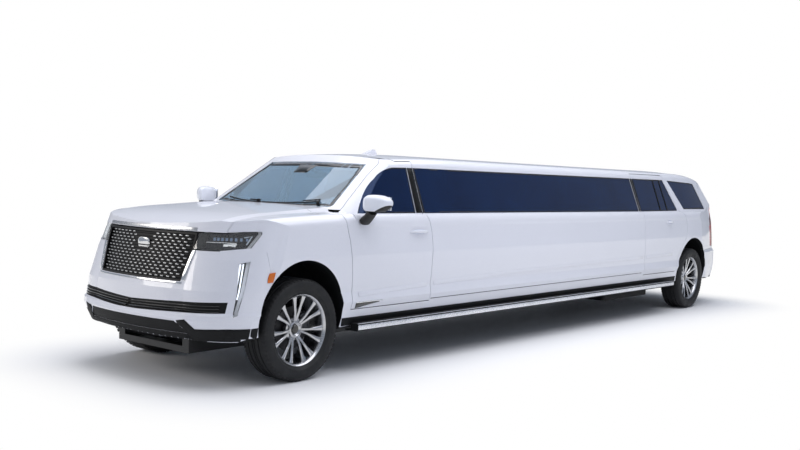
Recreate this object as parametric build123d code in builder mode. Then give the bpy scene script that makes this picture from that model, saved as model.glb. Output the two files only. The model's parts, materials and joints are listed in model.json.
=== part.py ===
from build123d import *
import math
import os

# Stretched sport-utility limousine, 9.95 m long, sizes in millimetres.
# +X points forward, +Y to the left, +Z up. The origin is on the ground, at the middle of the car.
# Names that end in _x are along the car, _y across it and _z above the ground.

# ---------------------------------------------------------------- driving sizes
length = 9950
wheelbase = 7640
front_overhang = 985
nose_x = length / 2
tail_x = -length / 2
front_axle_x = nose_x - front_overhang
rear_axle_x = front_axle_x - wheelbase

half_width = 1029
roof_z = 1897
belt_z = 1345
door_bottom_z = 540
body_bottom_z = 375
roof_seam_z = 1830

tyre_r = 417
track_y = 870
arch_r = 470
arch_centre_z = 515

door_wall = 110
pillar_wall = 58
skin = 42
skin_upper = 28
glass_in = 4
glass_out = 10
shut_gap = 7
jamb_step = 34
jamb_lap = 16
far = 1400
crumb = 2000


# ---------------------------------------------------------------- body form
# Flank section across the car: y, z from sill to belt.
flank_low = ((930, body_bottom_z), (978, 402), (1000, 470), (1000, door_bottom_z), (1022, 608), (1010, 692))
flank_mid = (1025, 845)
waist = (half_width, 1000)
shoulder = (1016, 1240)
shoulder_mid = (1009, 1300)
belt_edge = (985, belt_z)


def flank_y(z):
    """Half width of the flank between waist and shoulder at height z."""
    share = (z - waist[1]) / (shoulder[1] - waist[1])
    return waist[0] + share * (shoulder[0] - waist[0])


# Plan outline level by level: z, nose x, setback at 560 mm out, corner x, tail x.
# Front values count from the front axle, tail values from the origin.
plan_levels = (
    (340, 860, 60, 630, -4840),
    (470, 950, 60, 680, -4935),
    (540, 985, 60, 715, -4962),
    (580, 975, 60, 715, -4975),
    (602, 935, 60, 700, -4975),
    (760, 925, 65, 680, -4968),
    (800, 915, 68, 665, -4900),
    (1000, 862, 70, 590, -4872),
    (1200, 805, 70, 480, -4820),
    (1460, 735, 70, 350, -4690),
)
# Near the belt the rear corners round off sooner, by this share at the top level.
tail_tuck, tail_tuck_from_z = 0.16, 1150
# Outline at the belt, which the cabin's rear corners stand on, set in by a small step.
belt_level, belt_step = (belt_z, 766, 70, 407, -4747), 3


def plan_section(level, inset):
    """One level of the outline seen from above, left half mirrored to a whole one, set in by inset."""
    z, nose, setback, corner, tail = level
    narrow = 1 - inset / half_width
    side_y = half_width + 40
    nose_at = front_axle_x + nose - inset
    tail_at = tail + inset
    tuck = 1 + tail_tuck * max(z - tail_tuck_from_z, 0) / (plan_levels[-1][0] - tail_tuck_from_z)
    corner_x = front_axle_x + corner - inset
    shoulder_x = nose_at - setback
    ahead = (
        (nose_at, 0),
        (nose_at - 0.24 * setback, 290 * narrow),
        (shoulder_x, 560 * narrow),
        ((shoulder_x + corner_x) / 2 + 38, 762 * narrow),
        (corner_x, 915 * narrow),
        (corner_x - 92, 972 * narrow),
        (corner_x - 240, 1010 * narrow),
        (corner_x - 520, side_y * narrow),
    )
    behind = (
        (tail_at + 1150 * tuck, side_y * narrow),
        (tail_at + 820 * tuck, 1004 * narrow),
        (tail_at + 560 * tuck, 950 * narrow),
        (tail_at + 290 * tuck, 882 * narrow),
        (tail_at + 105 * tuck, 800 * narrow),
        (tail_at + 40 * tuck, 640 * narrow),
        (tail_at + 10 * tuck, 330 * narrow),
        (tail_at, 0),
    )
    with BuildSketch(Plane.XY.offset(z)) as section:
        with BuildLine():
            ThreePointArc(*ahead[0:3])
            ThreePointArc(*ahead[2:5])
            ThreePointArc(*ahead[4:7])
            Polyline(*ahead[6:], *behind[:2])
            ThreePointArc(*behind[1:4])
            ThreePointArc(*behind[3:6])
            ThreePointArc(*behind[5:8])
            mirror(about=Plane.XZ)
        make_face()
    return section.sketch


def lower_form(inset):
    """Body below the belt, with nose and tail rounded in plan, set in by inset."""
    low = [(y - inset, max(z, body_bottom_z + inset)) for y, z in flank_low[-3:]]
    sill_foot = (flank_low[0][0] - inset, body_bottom_z + inset)
    sill = [sill_foot, (flank_low[1][0] - inset, flank_low[1][1] + inset)]
    with BuildPart() as lower:
        with BuildSketch(Plane.YZ.offset(tail_x - 50)):
            with BuildLine():
                Polyline((0, body_bottom_z + inset), *sill, *low)
                ThreePointArc(low[-1], (flank_mid[0] - inset, flank_mid[1]), (waist[0] - inset, waist[1]))
                Line((waist[0] - inset, waist[1]), (shoulder[0] - inset, shoulder[1]))
                ThreePointArc(
                    (shoulder[0] - inset, shoulder[1]),
                    (shoulder_mid[0] - inset, shoulder_mid[1]),
                    (belt_edge[0] - inset, belt_z),
                )
                Line((belt_edge[0] - inset, belt_z), (0, belt_z))
                mirror(about=Plane.YZ)
            make_face()
        extrude(amount=length + 100)
        with BuildSketch(Plane.XZ.offset(-far)):
            with Locations((bonnet_split_x + 1000, waist[1] + 500)):
                Rectangle(2000, 1000)
        extrude(amount=2 * far, mode=Mode.SUBTRACT)
        loft([plan_section(level, inset) for level in plan_levels], ruled=True, mode=Mode.INTERSECT)
    return lower.part


# Bonnet and wing tops, section by section: x ahead of the front axle, centre height, edge height.
bonnet_split_x = front_axle_x - 600
bonnet_levels = (
    (-600, 1410, 1362),
    (-100, 1384, 1350),
    (330, 1354, 1325),
    (640, 1306, 1272),
    (860, 1210, 1180),
)


def bonnet_section(level, inset):
    ahead, centre_z, edge_z = level
    start_z = edge_z - 112
    crown = centre_z - edge_z
    flank = (
        (waist[0] - inset, waist[1]),
        (flank_y(start_z) - inset, start_z),
        (990 - inset, edge_z - 38),
        (925 - inset, edge_z - 8 - inset),
        (790 - 0.5 * inset, edge_z + 2 - inset),
        (720 - 0.5 * inset, edge_z + 0.6 * crown - inset),
        (380, centre_z - 0.1 * crown - inset),
        (0, centre_z - inset),
    )
    with BuildSketch(Plane.YZ.offset(front_axle_x + ahead)) as section:
        with BuildLine():
            Polyline((0, waist[1]), *flank[:2])
            ThreePointArc(*flank[1:4])
            Polyline(*flank[3:6])
            ThreePointArc(*flank[5:8])
            mirror(about=Plane.YZ)
        make_face()
    return section.sketch


def bonnet_form(inset):
    """Bonnet and wing tops above the waist, ahead of the doors, set in by inset."""
    with BuildPart() as top:
        loft([bonnet_section(level, inset) for level in bonnet_levels])
        loft([plan_section(level, inset) for level in plan_levels[-3:]], ruled=True, mode=Mode.INTERSECT)
    return top.part


# Greenhouse: side glass plane, cant rail and crown. It drops and narrows ahead of and behind two bends.
glass_foot = (990, 1250)
glass_head = (797, 1772)
cant_mid = (776, 1828)
roof_edge = (690, 1861)
roof_mid = (360, 1888)
bend_front_x, drop_front_r, narrow_front_r = 1900, 13000, 30000
bend_rear_x, drop_rear_r, narrow_rear_r = -3500, 4200, 15000
front_stations = (1300, 1600, 1900, 2350, 2800, 3250, 3700)
rear_stations = (-2900, -3200, -3500, -3900, -4350, -4800)
screen_rake = 32
screen_r = 4300
screen_foot = (front_axle_x - 425, 1392)
pillar_r, pillar_turn = 130, 65
pillar_start, pillar_lean = 838, 0.161
tailglass_rake = 53
tailglass_r = 3800
tailglass_foot = (-4700, belt_z)


def house_section(x, inset):
    """Cabin section across the car at x, set in by inset."""
    past = max(x - bend_front_x, 0)
    behind = max(bend_rear_x - x, 0)
    drop = past**2 / (2 * drop_front_r) + behind**2 / (2 * drop_rear_r)
    lean = past**2 / (2 * narrow_front_r) + behind**2 / (2 * narrow_rear_r)
    foot = (glass_foot[0] - lean - inset, glass_foot[1])
    head = (glass_head[0] - lean - inset, glass_head[1] - 0.6 * drop - 0.35 * inset)
    cant = (cant_mid[0] - lean - 0.9 * inset, cant_mid[1] - 0.9 * drop - 0.5 * inset)
    edge = (roof_edge[0] - lean - 0.45 * inset, roof_edge[1] - drop - 0.9 * inset)
    with BuildSketch(Plane.YZ.offset(x)) as section:
        with BuildLine():
            Polyline((0, glass_foot[1]), foot, head)
            ThreePointArc(head, cant, edge)
            ThreePointArc(edge, (roof_mid[0], roof_mid[1] - drop - inset), (0, roof_z - drop - inset))
            mirror(about=Plane.YZ)
        make_face()
    return section.sketch


def rake_plane(foot, rake, forward, along_glass):
    """Plane square to a raked glass, along_glass up its slope from the foot."""
    angle = math.radians(rake)
    along = (-forward * math.cos(angle), 0, math.sin(angle))
    return Plane(origin=(foot[0], 0, foot[1]), x_dir=(0, -forward, 0), z_dir=along).offset(along_glass)


def screen_section(along_glass, inset):
    """Section across the windscreen with a rounded pillar each side, set in by inset."""
    half = pillar_start - pillar_lean * along_glass
    begin = math.asin(half / screen_r)
    turn = math.radians(pillar_turn)
    mid_turn = (begin + turn) / 2
    inner_r = pillar_r - inset
    hub = ((screen_r - pillar_r) * math.sin(begin), (screen_r - pillar_r) * math.cos(begin) - screen_r)
    turns = (begin, mid_turn, turn)
    corner = [(hub[0] + inner_r * math.sin(t), hub[1] + inner_r * math.cos(t)) for t in turns]
    mid_depth = math.sqrt((screen_r - inset) ** 2 - (corner[0][0] / 2) ** 2) - screen_r
    away = (corner[2][0] + 700 * math.cos(turn), corner[2][1] - 700 * math.sin(turn))
    with BuildSketch(rake_plane(screen_foot, screen_rake, 1, along_glass)) as section:
        with BuildLine():
            ThreePointArc((0, -inset), (corner[0][0] / 2, mid_depth), corner[0])
            ThreePointArc(*corner)
            Polyline(corner[2], away, (away[0], -9500), (0, -9500))
            mirror(about=Plane.YZ)
        make_face()
    return section.sketch


def tail_section(inset):
    """Section across the tail glass and everything ahead of it, set in by inset."""
    reach, deep = 1100, 9500
    drop = tailglass_r - math.sqrt(tailglass_r**2 - reach**2)
    with BuildSketch(rake_plane(tailglass_foot, tailglass_rake, -1, -1500)) as section:
        with BuildLine():
            ThreePointArc((-reach, -drop - inset), (0, -inset), (reach, -drop - inset))
            Polyline((reach, -drop - inset), (reach, -deep), (-reach, -deep), (-reach, -drop - inset))
        make_face()
    return section.sketch


def screen_form(inset):
    """Everything behind the windscreen surface and its pillars, set in by inset."""
    low, high, reach = -500, 1500, 9000
    with BuildPart() as behind:
        loft([screen_section(at, inset) for at in (low, high)], ruled=True)
        with BuildSketch(rake_plane(screen_foot, screen_rake, 1, high)):
            with Locations((0, -4750)):
                Rectangle(3000, 9500)
        extrude(amount=reach)
    return behind.part


def tail_corners(inset):
    """Upright block with the belt's plan outline, set in by inset."""
    with BuildPart() as corners:
        extrude(plan_section(belt_level, inset), amount=600, both=True)
    return corners.part


def house_form(inset):
    """Cabin above the belt with its windscreen and tail glass, set in by inset."""
    with BuildPart() as house:
        extrude(house_section(rear_stations[0], inset), amount=front_stations[0] - rear_stations[0])
        loft([house_section(x, inset) for x in front_stations])
        loft([house_section(x, inset) for x in rear_stations])
        add(screen_form(inset), mode=Mode.INTERSECT)
        extrude(tail_section(inset), amount=10500, mode=Mode.INTERSECT)
        add(tail_corners(inset + belt_step), mode=Mode.INTERSECT)
    return house.part


def whole_form(lower_inset, upper_inset):
    with BuildPart() as form:
        add(lower_form(lower_inset))
        add(house_form(upper_inset))
        add(bonnet_form(min(lower_inset, 45)))
    return form.part



# ---------------------------------------------------------------- outlines
# Paths are x, z points seen from the left side: a point is reached by a line, a pair
# of points (through, end) by an arc. The last point is joined to the first.
front_door_path = (
    (3416, 545),
    ((3432, 850), (3470, 1130)),
    ((3502, 1240), (3526, 1345)),
    (3440, 1392),
    (3430, 1490),
    (2780, 1893),
    (2620, 1818),
    (2400, 1825),
    (2412, 1345),
    ((2360, 1205), (2343, 930)),
    (2338, 545),
)
rear_door_path = (
    (-2155, 545),
    (-2100, 1345),
    (-2085, 1825),
    (-3000, 1825),
    (-3268, 1362),
    ((-3405, 1190), (-3380, 983)),
    ((-3182, 785), (-3111, 545)),
)
front_glass_path = (
    (3275, 1352),
    ((3149, 1507), (2950, 1655)),
    ((2811, 1732), (2670, 1764)),
    (2478, 1768),
    (2505, 1352),
)
long_glass_path = ((2380, 1768), (2380, 1352), (-2055, 1352), (-2045, 1768))
rear_glass_path = ((-2130, 1768), (-2130, 1352), (-3205, 1358), (-3222, 1370), (-3020, 1768))
quarter_glass_path = (
    (-3160, 1764), (-3900, 1743), (-4049, 1730), (-4215, 1392), (-4200, 1378), (-3440, 1380),
)


def outline(plane, path, grow=0):
    """Face on a plane inside a path of lines and arcs, grown outward by grow."""
    with BuildSketch(plane) as face:
        with BuildLine():
            at = path[0]
            for step in path[1:]:
                if isinstance(step[0], tuple):
                    ThreePointArc(at, *step)
                    at = step[1]
                else:
                    Line(at, step)
                    at = step
            Line(at, path[0])
        make_face()
        if grow:
            offset(amount=grow)
    return face.sketch


def side_block(path, y_low, y_high, grow=0):
    """Solid from y_low to y_high with a side view outline."""
    with BuildPart() as block:
        extrude(outline(Plane.XZ.offset(-y_high), path, grow), amount=y_high - y_low)
    return block.part


def plan_block(path, z_low, z_high, grow=0):
    """Solid from z_low to z_high with a plan outline, x and y."""
    with BuildPart() as block:
        extrude(outline(Plane.XY.offset(z_low), path, grow), amount=z_high - z_low)
    return block.part


def box(x_low, x_high, y_low, y_high, z_low, z_high):
    return plan_block(((x_low, y_low), (x_high, y_low), (x_high, y_high), (x_low, y_high)), z_low, z_high)


def without_crumbs(part):
    """The solids of a part, without loose scraps that cuts leave at corners."""
    with BuildPart() as kept:
        for solid in part.solids():
            if solid.volume > crumb:
                add(solid)
    return kept.part


def save(part, name):
    part.label = name
    export_step(part, f"parts/{name}.step")
    print(name, len(part.solids()), "solids", round(part.volume / 1e6, 1), "litres", part.is_valid)


def save_pair(part, name):
    """Left piece as built, right piece as its mirror image."""
    left = without_crumbs(part)
    save(left, "left_" + name)
    with BuildPart() as right:
        mirror(left, about=Plane.XZ)
    save(right.part, "right_" + name)


def save_both(part, name):
    """Left and right solids in one node."""
    left = without_crumbs(part)
    with BuildPart() as both:
        add(left)
        mirror(left, about=Plane.XZ)
    save(both.part, name)


# ---------------------------------------------------------------- body shells
outer_form = whole_form(0, 0)
skin_form = whole_form(skin, skin_upper)
flange_form = whole_form(skin + shut_gap, skin_upper + shut_gap)
inner_form = whole_form(door_wall, pillar_wall)
glass_outer_form = house_form(glass_in)
glass_inner_form = house_form(glass_out)

# Bonnet seen from above, left half: x, y. The front edge is open past the nose.
bonnet_plan = (
    (5200, -760),
    (5200, 760),
    (4620, 775),
    ((4420, 850), (4280, 893)),
    ((3990, 905), (3726, 905)),
    ((3680, 450), (3668, 0)),
    ((3680, -450), (3726, -905)),
    ((3990, -905), (4280, -893)),
    ((4420, -850), (4620, -775)),
)
bonnet_bottom_z = 1203
cowl_view = ((0, 1250), (905, 1250), (905, 1396), (700, 1396), (700, 1450), (0, 1450))
screen_plan = (
    (3395, 742),
    ((3425, 730), (3446, 690)),
    ((3525, 370), (3548, 0)),
    ((3525, -370), (3446, -690)),
    ((3425, -730), (3395, -742)),
    (2845, -618),
    ((2898, -300), (2912, 0)),
    ((2898, 300), (2845, 618)),
)
# Seen from the front, doors lie outside this line, the windscreen pillar's outer edge above the belt.
door_view = (
    (far, 300), (780, 300), (780, 1250), (850, 1345), (842, 1400), (829, 1430), (805, 1500), (775, 1590),
    (744, 1680), (731, 1746), (726, 1790), (690, 1835), (690, 1900), (far, 1900),
)
pillar_from_x = 2700
grille_front = (
    (-516, 818), (516, 818), (540, 960), (560, 1070), (560, 1193), (-560, 1193), (-560, 1070), (-540, 960),
)
lamp_front = ((560, 1068), (575, 1193), (1100, 1225), (1100, 1085), (930, 1093), (790, 1070))
lamp_side = ((5200, 1000), (4570, 1000), (4506, 1088), (4414, 1195), (4406, 1260), (5200, 1260))
tail_door_half_y = 800


def front_block(path, x_low, x_high, grow=0):
    """Solid from x_low to x_high with an outline seen from the front, y and z."""
    with BuildPart() as block:
        extrude(outline(Plane.YZ.offset(x_low), path, grow), amount=x_high - x_low)
    return block.part


with BuildPart() as wall:
    add(outer_form)
    add(inner_form, mode=Mode.SUBTRACT)
    add(box(-5200, 5200, -far, 0, 0, 2200), mode=Mode.SUBTRACT)
    for axle_x in (front_axle_x, rear_axle_x):
        with BuildSketch(Plane.XZ.offset(-far)):
            with Locations((axle_x, arch_centre_z)):
                Circle(arch_r)
        extrude(amount=far - 600, mode=Mode.SUBTRACT)
        with BuildSketch(Plane.XZ.offset(-960)):
            with Locations((axle_x, arch_centre_z)):
                Circle(arch_r + 30)
        extrude(amount=360, mode=Mode.SUBTRACT)
left_wall = wall.part


def door(path, glass_path):
    """Door: skin to the full outline, and an inner layer set in behind the jamb."""
    with BuildPart() as ring:
        add(side_block(path, 300, far, grow=shut_gap))
        add(side_block(path, 300, far, grow=-jamb_step), mode=Mode.SUBTRACT)
        add(skin_form, mode=Mode.INTERSECT)
    with BuildPart() as panel:
        add(left_wall)
        add(side_block(path, 500, far), mode=Mode.INTERSECT)
        add(ring.part, mode=Mode.SUBTRACT)
        add(side_block(glass_path, 500, far), mode=Mode.SUBTRACT)
        add(front_block(door_view, -3600, 3600), mode=Mode.INTERSECT)
    return panel.part


def pane(path):
    with BuildPart() as glass:
        add(glass_outer_form)
        add(glass_inner_form, mode=Mode.SUBTRACT)
        add(side_block(path, 700, far), mode=Mode.INTERSECT)
    return glass.part


def opening(path):
    """What a door opening takes out of the body: full outline outside the jamb lap, less inside it."""
    with BuildPart() as lap:
        add(side_block(path, 300, far, grow=shut_gap))
        add(side_block(path, 300, far, grow=-jamb_lap), mode=Mode.SUBTRACT)
        add(flange_form, mode=Mode.INTERSECT)
    with BuildPart() as pillar:
        add(box(pillar_from_x, 3600, 0, far, 1380, 1950))
        add(front_block(door_view, pillar_from_x, 3600, grow=shut_gap), mode=Mode.SUBTRACT)
    with BuildPart() as cut:
        add(side_block(path, 300, far, grow=shut_gap))
        add(lap.part, mode=Mode.SUBTRACT)
        add(pillar.part, mode=Mode.SUBTRACT)
    return cut.part


def lamp_block(grow):
    """Space of one headlamp, cut to length where it wraps round the wing."""
    with BuildPart() as block:
        add(front_block(lamp_front, 4300, 5200, grow=grow))
        add(side_block(lamp_side, 0, far, grow=grow), mode=Mode.INTERSECT)
    return block.part


os.makedirs("parts", exist_ok=True)

front_door = door(front_door_path, front_glass_path)
save_pair(front_door, "front_door")
save_pair(pane(front_glass_path), "front_door_glass")
rear_door = door(rear_door_path, rear_glass_path)
save_pair(rear_door, "rear_door")
save_pair(pane(rear_glass_path), "rear_door_glass")

# Everything fixed starts from the wall with both door openings cut.
with BuildPart() as frame_wall:
    add(left_wall)
    add(opening(front_door_path), mode=Mode.SUBTRACT)
    add(opening(rear_door_path), mode=Mode.SUBTRACT)
fixed_wall = frame_wall.part

# Lines between the fixed panels cross the door openings, so each keeps its own part of the jamb.
side_panel_path = (
    (3410, 300), (3410, 600), (2700, 600), (2700, 1300), (2450, 1400), (2450, roof_seam_z),
    (-2500, roof_seam_z), (-2500, 600), (-3000, 600), (-3000, 300),
)
wing_path = (
    (3410, 300), (3410, 600), (3300, 600), (3300, 1300), (3420, 1800), (4700, 1800), (4700, 1060),
    (4395, 1060), (4360, 880), (4150, 700), (4150, 300),
)
roof_path = (
    (3800, 1396), (3300, 1396), (3000, 1560), (2450, 1700), (2450, roof_seam_z), (-5200, roof_seam_z),
    (-5200, 2200), (3800, 2200),
)
quarter_path = (
    (-3000, 300), (-3000, 600), (-2500, 1500), (-2500, roof_seam_z), (-5200, roof_seam_z), (-5200, 803),
    (-3900, 803), (-3900, 300),
)
tailgate_path = ((-5200, 807), (-4400, 807), (-4200, 1400), (-4250, 1760), (-4290, 1900), (-5200, 1900))
front_bumper_path = (
    (5200, 300), (4150, 300), (4150, 697), (4362, 880), (4398, 1060), (5200, 1060),
)
rear_bumper_path = ((-5200, 300), (-3900, 300), (-3900, 800), (-5200, 800))
tail_lamp_view = ((808, 830), (935, 830), (940, 1200), (870, 1560), (808, 1560))
tail_glass_view = ((-670, 1400), (670, 1400), (690, 1430), (600, 1790), (-600, 1790), (-690, 1430))
upper_intake_view = ((0, 577), (110, 577), (895, 600), (902, 684), (0, 648))
lower_intake_view = ((0, 428), (640, 428), (535, 524), (0, 524))
running_lamp_path = ((4600, 972), (4524, 992), (4640, 585), (4674, 568))

under_cut = box(-4700, 4200, 0, 860, 300, 490)

with BuildPart() as side_panel:
    add(fixed_wall)
    add(side_block(side_panel_path, 560, far), mode=Mode.INTERSECT)
    add(side_block(long_glass_path, 500, far), mode=Mode.SUBTRACT)
    add(under_cut, mode=Mode.SUBTRACT)
save_both(side_panel.part, "side_panels")

with BuildPart() as wing:
    add(fixed_wall)
    add(side_block(wing_path, 560, far), mode=Mode.INTERSECT)
    add(plan_block(bonnet_plan, 1000, 1600, grow=shut_gap), mode=Mode.SUBTRACT)
    add(front_block(cowl_view, 3300, 3900), mode=Mode.SUBTRACT)
    add(box(3300, 3800, 0, far, 1396, 2000), mode=Mode.SUBTRACT)
    add(under_cut, mode=Mode.SUBTRACT)
    add(lamp_block(3), mode=Mode.SUBTRACT)
save_both(wing.part, "front_wings")

with BuildPart() as roof:
    add(fixed_wall)
    add(side_block(roof_path, 0, far), mode=Mode.INTERSECT)
    add(plan_block(screen_plan, 1300, 2200), mode=Mode.SUBTRACT)
    add(front_block(cowl_view, 3300, 3900), mode=Mode.SUBTRACT)
    add(side_block(tailgate_path, 0, far, grow=shut_gap), mode=Mode.SUBTRACT)
save_both(roof.part, "roof_panel")

with BuildPart() as windscreen:
    add(glass_outer_form)
    add(glass_inner_form, mode=Mode.SUBTRACT)
    add(plan_block(screen_plan, 1300, 2200, grow=-2), mode=Mode.INTERSECT)
save(windscreen.part, "windscreen")

with BuildPart() as bonnet:
    add(fixed_wall)
    add(plan_block(bonnet_plan, bonnet_bottom_z, 1600), mode=Mode.INTERSECT)
save_both(bonnet.part, "bonnet")

with BuildPart() as cowl:
    add(fixed_wall)
    add(front_block(cowl_view, 3300, 3900), mode=Mode.INTERSECT)
    add(plan_block(screen_plan, 1200, 2200), mode=Mode.SUBTRACT)
    add(plan_block(bonnet_plan, 1000, 1600, grow=shut_gap), mode=Mode.SUBTRACT)
save_both(cowl.part, "cowl_panel")

with BuildPart() as quarter:
    add(fixed_wall)
    add(side_block(quarter_path, 560, far), mode=Mode.INTERSECT)
    add(side_block(tailgate_path, 0, 808, grow=shut_gap), mode=Mode.SUBTRACT)
    add(side_block(quarter_glass_path, 500, far), mode=Mode.SUBTRACT)
    add(front_block(tail_lamp_view, -5200, -4500), mode=Mode.SUBTRACT)
    add(under_cut, mode=Mode.SUBTRACT)
save_both(quarter.part, "rear_quarters")

with BuildPart() as side_glass:
    add(pane(long_glass_path))
    add(pane(quarter_glass_path))
save_both(side_glass.part, "side_glass")

with BuildPart() as tailgate:
    add(fixed_wall)
    add(side_block(tailgate_path, 0, tail_door_half_y), mode=Mode.INTERSECT)
    add(front_block(tail_glass_view, -5200, -4000), mode=Mode.SUBTRACT)
save_both(tailgate.part, "tailgate")

with BuildPart() as tail_glass:
    add(glass_outer_form)
    add(glass_inner_form, mode=Mode.SUBTRACT)
    add(front_block(tail_glass_view, -5200, -4000), mode=Mode.INTERSECT)
save(tail_glass.part, "tailgate_glass")

cover_in, cover_out = 3, 7
lamp_in, lamp_out = 30, 70
lamp_bonnet_gap = plan_block(bonnet_plan, bonnet_bottom_z - shut_gap, 1600, grow=shut_gap)


def nose_half(inset):
    """Left half of the nose ahead of the front wheels, set in by inset."""
    with BuildPart() as nose:
        add(lower_form(inset))
        add(bonnet_form(inset))
        add(box(4300, 5200, 0, far, 0, 1500), mode=Mode.INTERSECT)
    return nose.part


def nose_layer(outside, inside):
    with BuildPart() as layer:
        add(outside)
        add(inside, mode=Mode.SUBTRACT)
    return layer.part


nose_outside = nose_half(cover_in)
nose_inside = nose_half(lamp_out)
cover_layer = nose_layer(nose_outside, nose_half(cover_out))
lamp_layer = nose_layer(nose_half(lamp_in), nose_inside)
full_layer = nose_layer(nose_outside, nose_inside)


def front_lamp(layer):
    """Headlamp and upright running lamp cut from a layer."""
    with BuildPart() as head:
        add(layer)
        add(lamp_block(0), mode=Mode.INTERSECT)
        add(front_block(grille_front, 4300, 5200, grow=3), mode=Mode.SUBTRACT)
        add(lamp_bonnet_gap, mode=Mode.SUBTRACT)
    with BuildPart() as running:
        add(layer)
        add(side_block(running_lamp_path, 820, far), mode=Mode.INTERSECT)
    with BuildPart() as lamp:
        add(head.part)
        add(running.part)
    return lamp.part


save_both(front_lamp(cover_layer), "front_lamp_covers")
save_both(front_lamp(lamp_layer), "front_lamps")

with BuildPart() as tail_lamps:
    add(fixed_wall)
    add(front_block(tail_lamp_view, -5200, -4500), mode=Mode.INTERSECT)
save_both(tail_lamps.part, "tail_lamps")

with BuildPart() as front_bumper:
    add(fixed_wall)
    add(side_block(front_bumper_path, 0, far), mode=Mode.INTERSECT)
    add(front_block(grille_front, 4300, 5200), mode=Mode.SUBTRACT)
    add(front_block(upper_intake_view, 4300, 5200), mode=Mode.SUBTRACT)
    add(front_block(lower_intake_view, 4300, 5200), mode=Mode.SUBTRACT)
    add(side_block(running_lamp_path, 820, far), mode=Mode.SUBTRACT)
    add(box(4100, 4560, 0, 700, 300, 600), mode=Mode.SUBTRACT)
save_both(front_bumper.part, "front_bumper")

# Radiator grille: surround with a recessed back plate, and a stack of thin bars that follow the nose.
surround, grille_bars, bar_height, bar_in, bar_depth = 16, 14, 9, 14, 12
grille_low_z, grille_top_z = 818, 1193
bar_pitch = (grille_top_z - grille_low_z - 2 * surround) / grille_bars
with BuildPart() as grille:
    add(full_layer)
    add(front_block(grille_front, 4300, 5200), mode=Mode.INTERSECT)
    add(front_block(grille_front, 4300, 5200, grow=-surround), mode=Mode.SUBTRACT)
with BuildPart() as grille_plate:
    add(lamp_layer)
    add(front_block(grille_front, 4300, 5200), mode=Mode.INTERSECT)
with BuildPart() as grille_shell:
    add(grille.part)
    add(grille_plate.part)


def at_height(table, z):
    """Value at height z on a line through table points (z, value)."""
    for (low_z, low), (high_z, high) in zip(table, table[1:]):
        if z <= high_z:
            return low + (high - low) * (z - low_z) / (high_z - low_z)
    return table[-1][1]


nose_at_z = [(level[0], front_axle_x + level[1]) for level in plan_levels]
setback_at_z = [(level[0], level[2]) for level in plan_levels]
grille_half_at_z = [(z, y) for y, z in grille_front[1:5]]


def nose_arc(z, inset):
    """Three points along the nose at height z, from the middle out to 560 mm, set in by inset."""
    nose = at_height(nose_at_z, z) - inset
    setback = at_height(setback_at_z, z)
    return ((nose, 0), (nose - 0.24 * setback, 290), (nose - setback, 560))


with BuildPart() as bars:
    for index in range(grille_bars):
        bar_z = grille_low_z + surround + (index + 0.5) * bar_pitch
        reach = at_height(grille_half_at_z, bar_z) - 2 * surround
        with BuildSketch(Plane.XY.offset(bar_z - bar_height / 2)):
            with BuildLine():
                front_edge = ThreePointArc(*nose_arc(bar_z, bar_in))
                back_edge = ThreePointArc(*nose_arc(bar_z, bar_in + bar_depth))
                Line(front_edge @ 0, back_edge @ 0)
                Line(front_edge @ 1, back_edge @ 1)
            make_face()
            with Locations((4500, reach / 2)):
                Rectangle(1400, reach, mode=Mode.INTERSECT)
        extrude(amount=bar_height)
    mirror(about=Plane.XZ)
with BuildPart() as whole_grille:
    add(grille_shell.part)
    mirror(grille_shell.part, about=Plane.XZ)
    add(bars.part)
save(whole_grille.part, "radiator_grille")

with BuildPart() as intakes:
    for view in (upper_intake_view, lower_intake_view):
        add(front_block(view, 4640, 5200))
    add(full_layer, mode=Mode.INTERSECT)
    add(side_block(running_lamp_path, 820, far, grow=3), mode=Mode.SUBTRACT)
save_both(intakes.part, "lower_grilles")

with BuildPart() as rear_bumper:
    add(fixed_wall)
    add(side_block(rear_bumper_path, 0, far), mode=Mode.INTERSECT)
    add(box(-4700, -3800, 0, 860, 300, 490), mode=Mode.SUBTRACT)
save_both(rear_bumper.part, "rear_bumper")

# ---------------------------------------------------------------- floor and bulkhead
floor_top_z = body_bottom_z + door_wall
hump_z = 560
plate = 12
with BuildPart() as floor_half:
    add(fixed_wall)
    add(box(-4700, 3410, 0, 860, 300, 490), mode=Mode.INTERSECT)
    add(box(rear_axle_x - 250, rear_axle_x + 250, -1, 600, 300, hump_z), mode=Mode.SUBTRACT)
    add(box(rear_axle_x - 250, rear_axle_x + 250, 0, 600, hump_z, hump_z + plate))
    for end_x in (rear_axle_x - 250, rear_axle_x + 250 - plate):
        add(box(end_x, end_x + plate, 0, 600, floor_top_z - 60, hump_z + plate))
with BuildPart() as bulkhead:
    add(inner_form)
    add(box(3340, 3380, 0, 884, floor_top_z, 1330), mode=Mode.INTERSECT)
    add(box(3340, 3380, 830, 900, 1295, 1340), mode=Mode.SUBTRACT)
with BuildPart() as floor_pan:
    add(floor_half.part)
    add(bulkhead.part)
save_both(floor_pan.part, "floor_pan")

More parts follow.
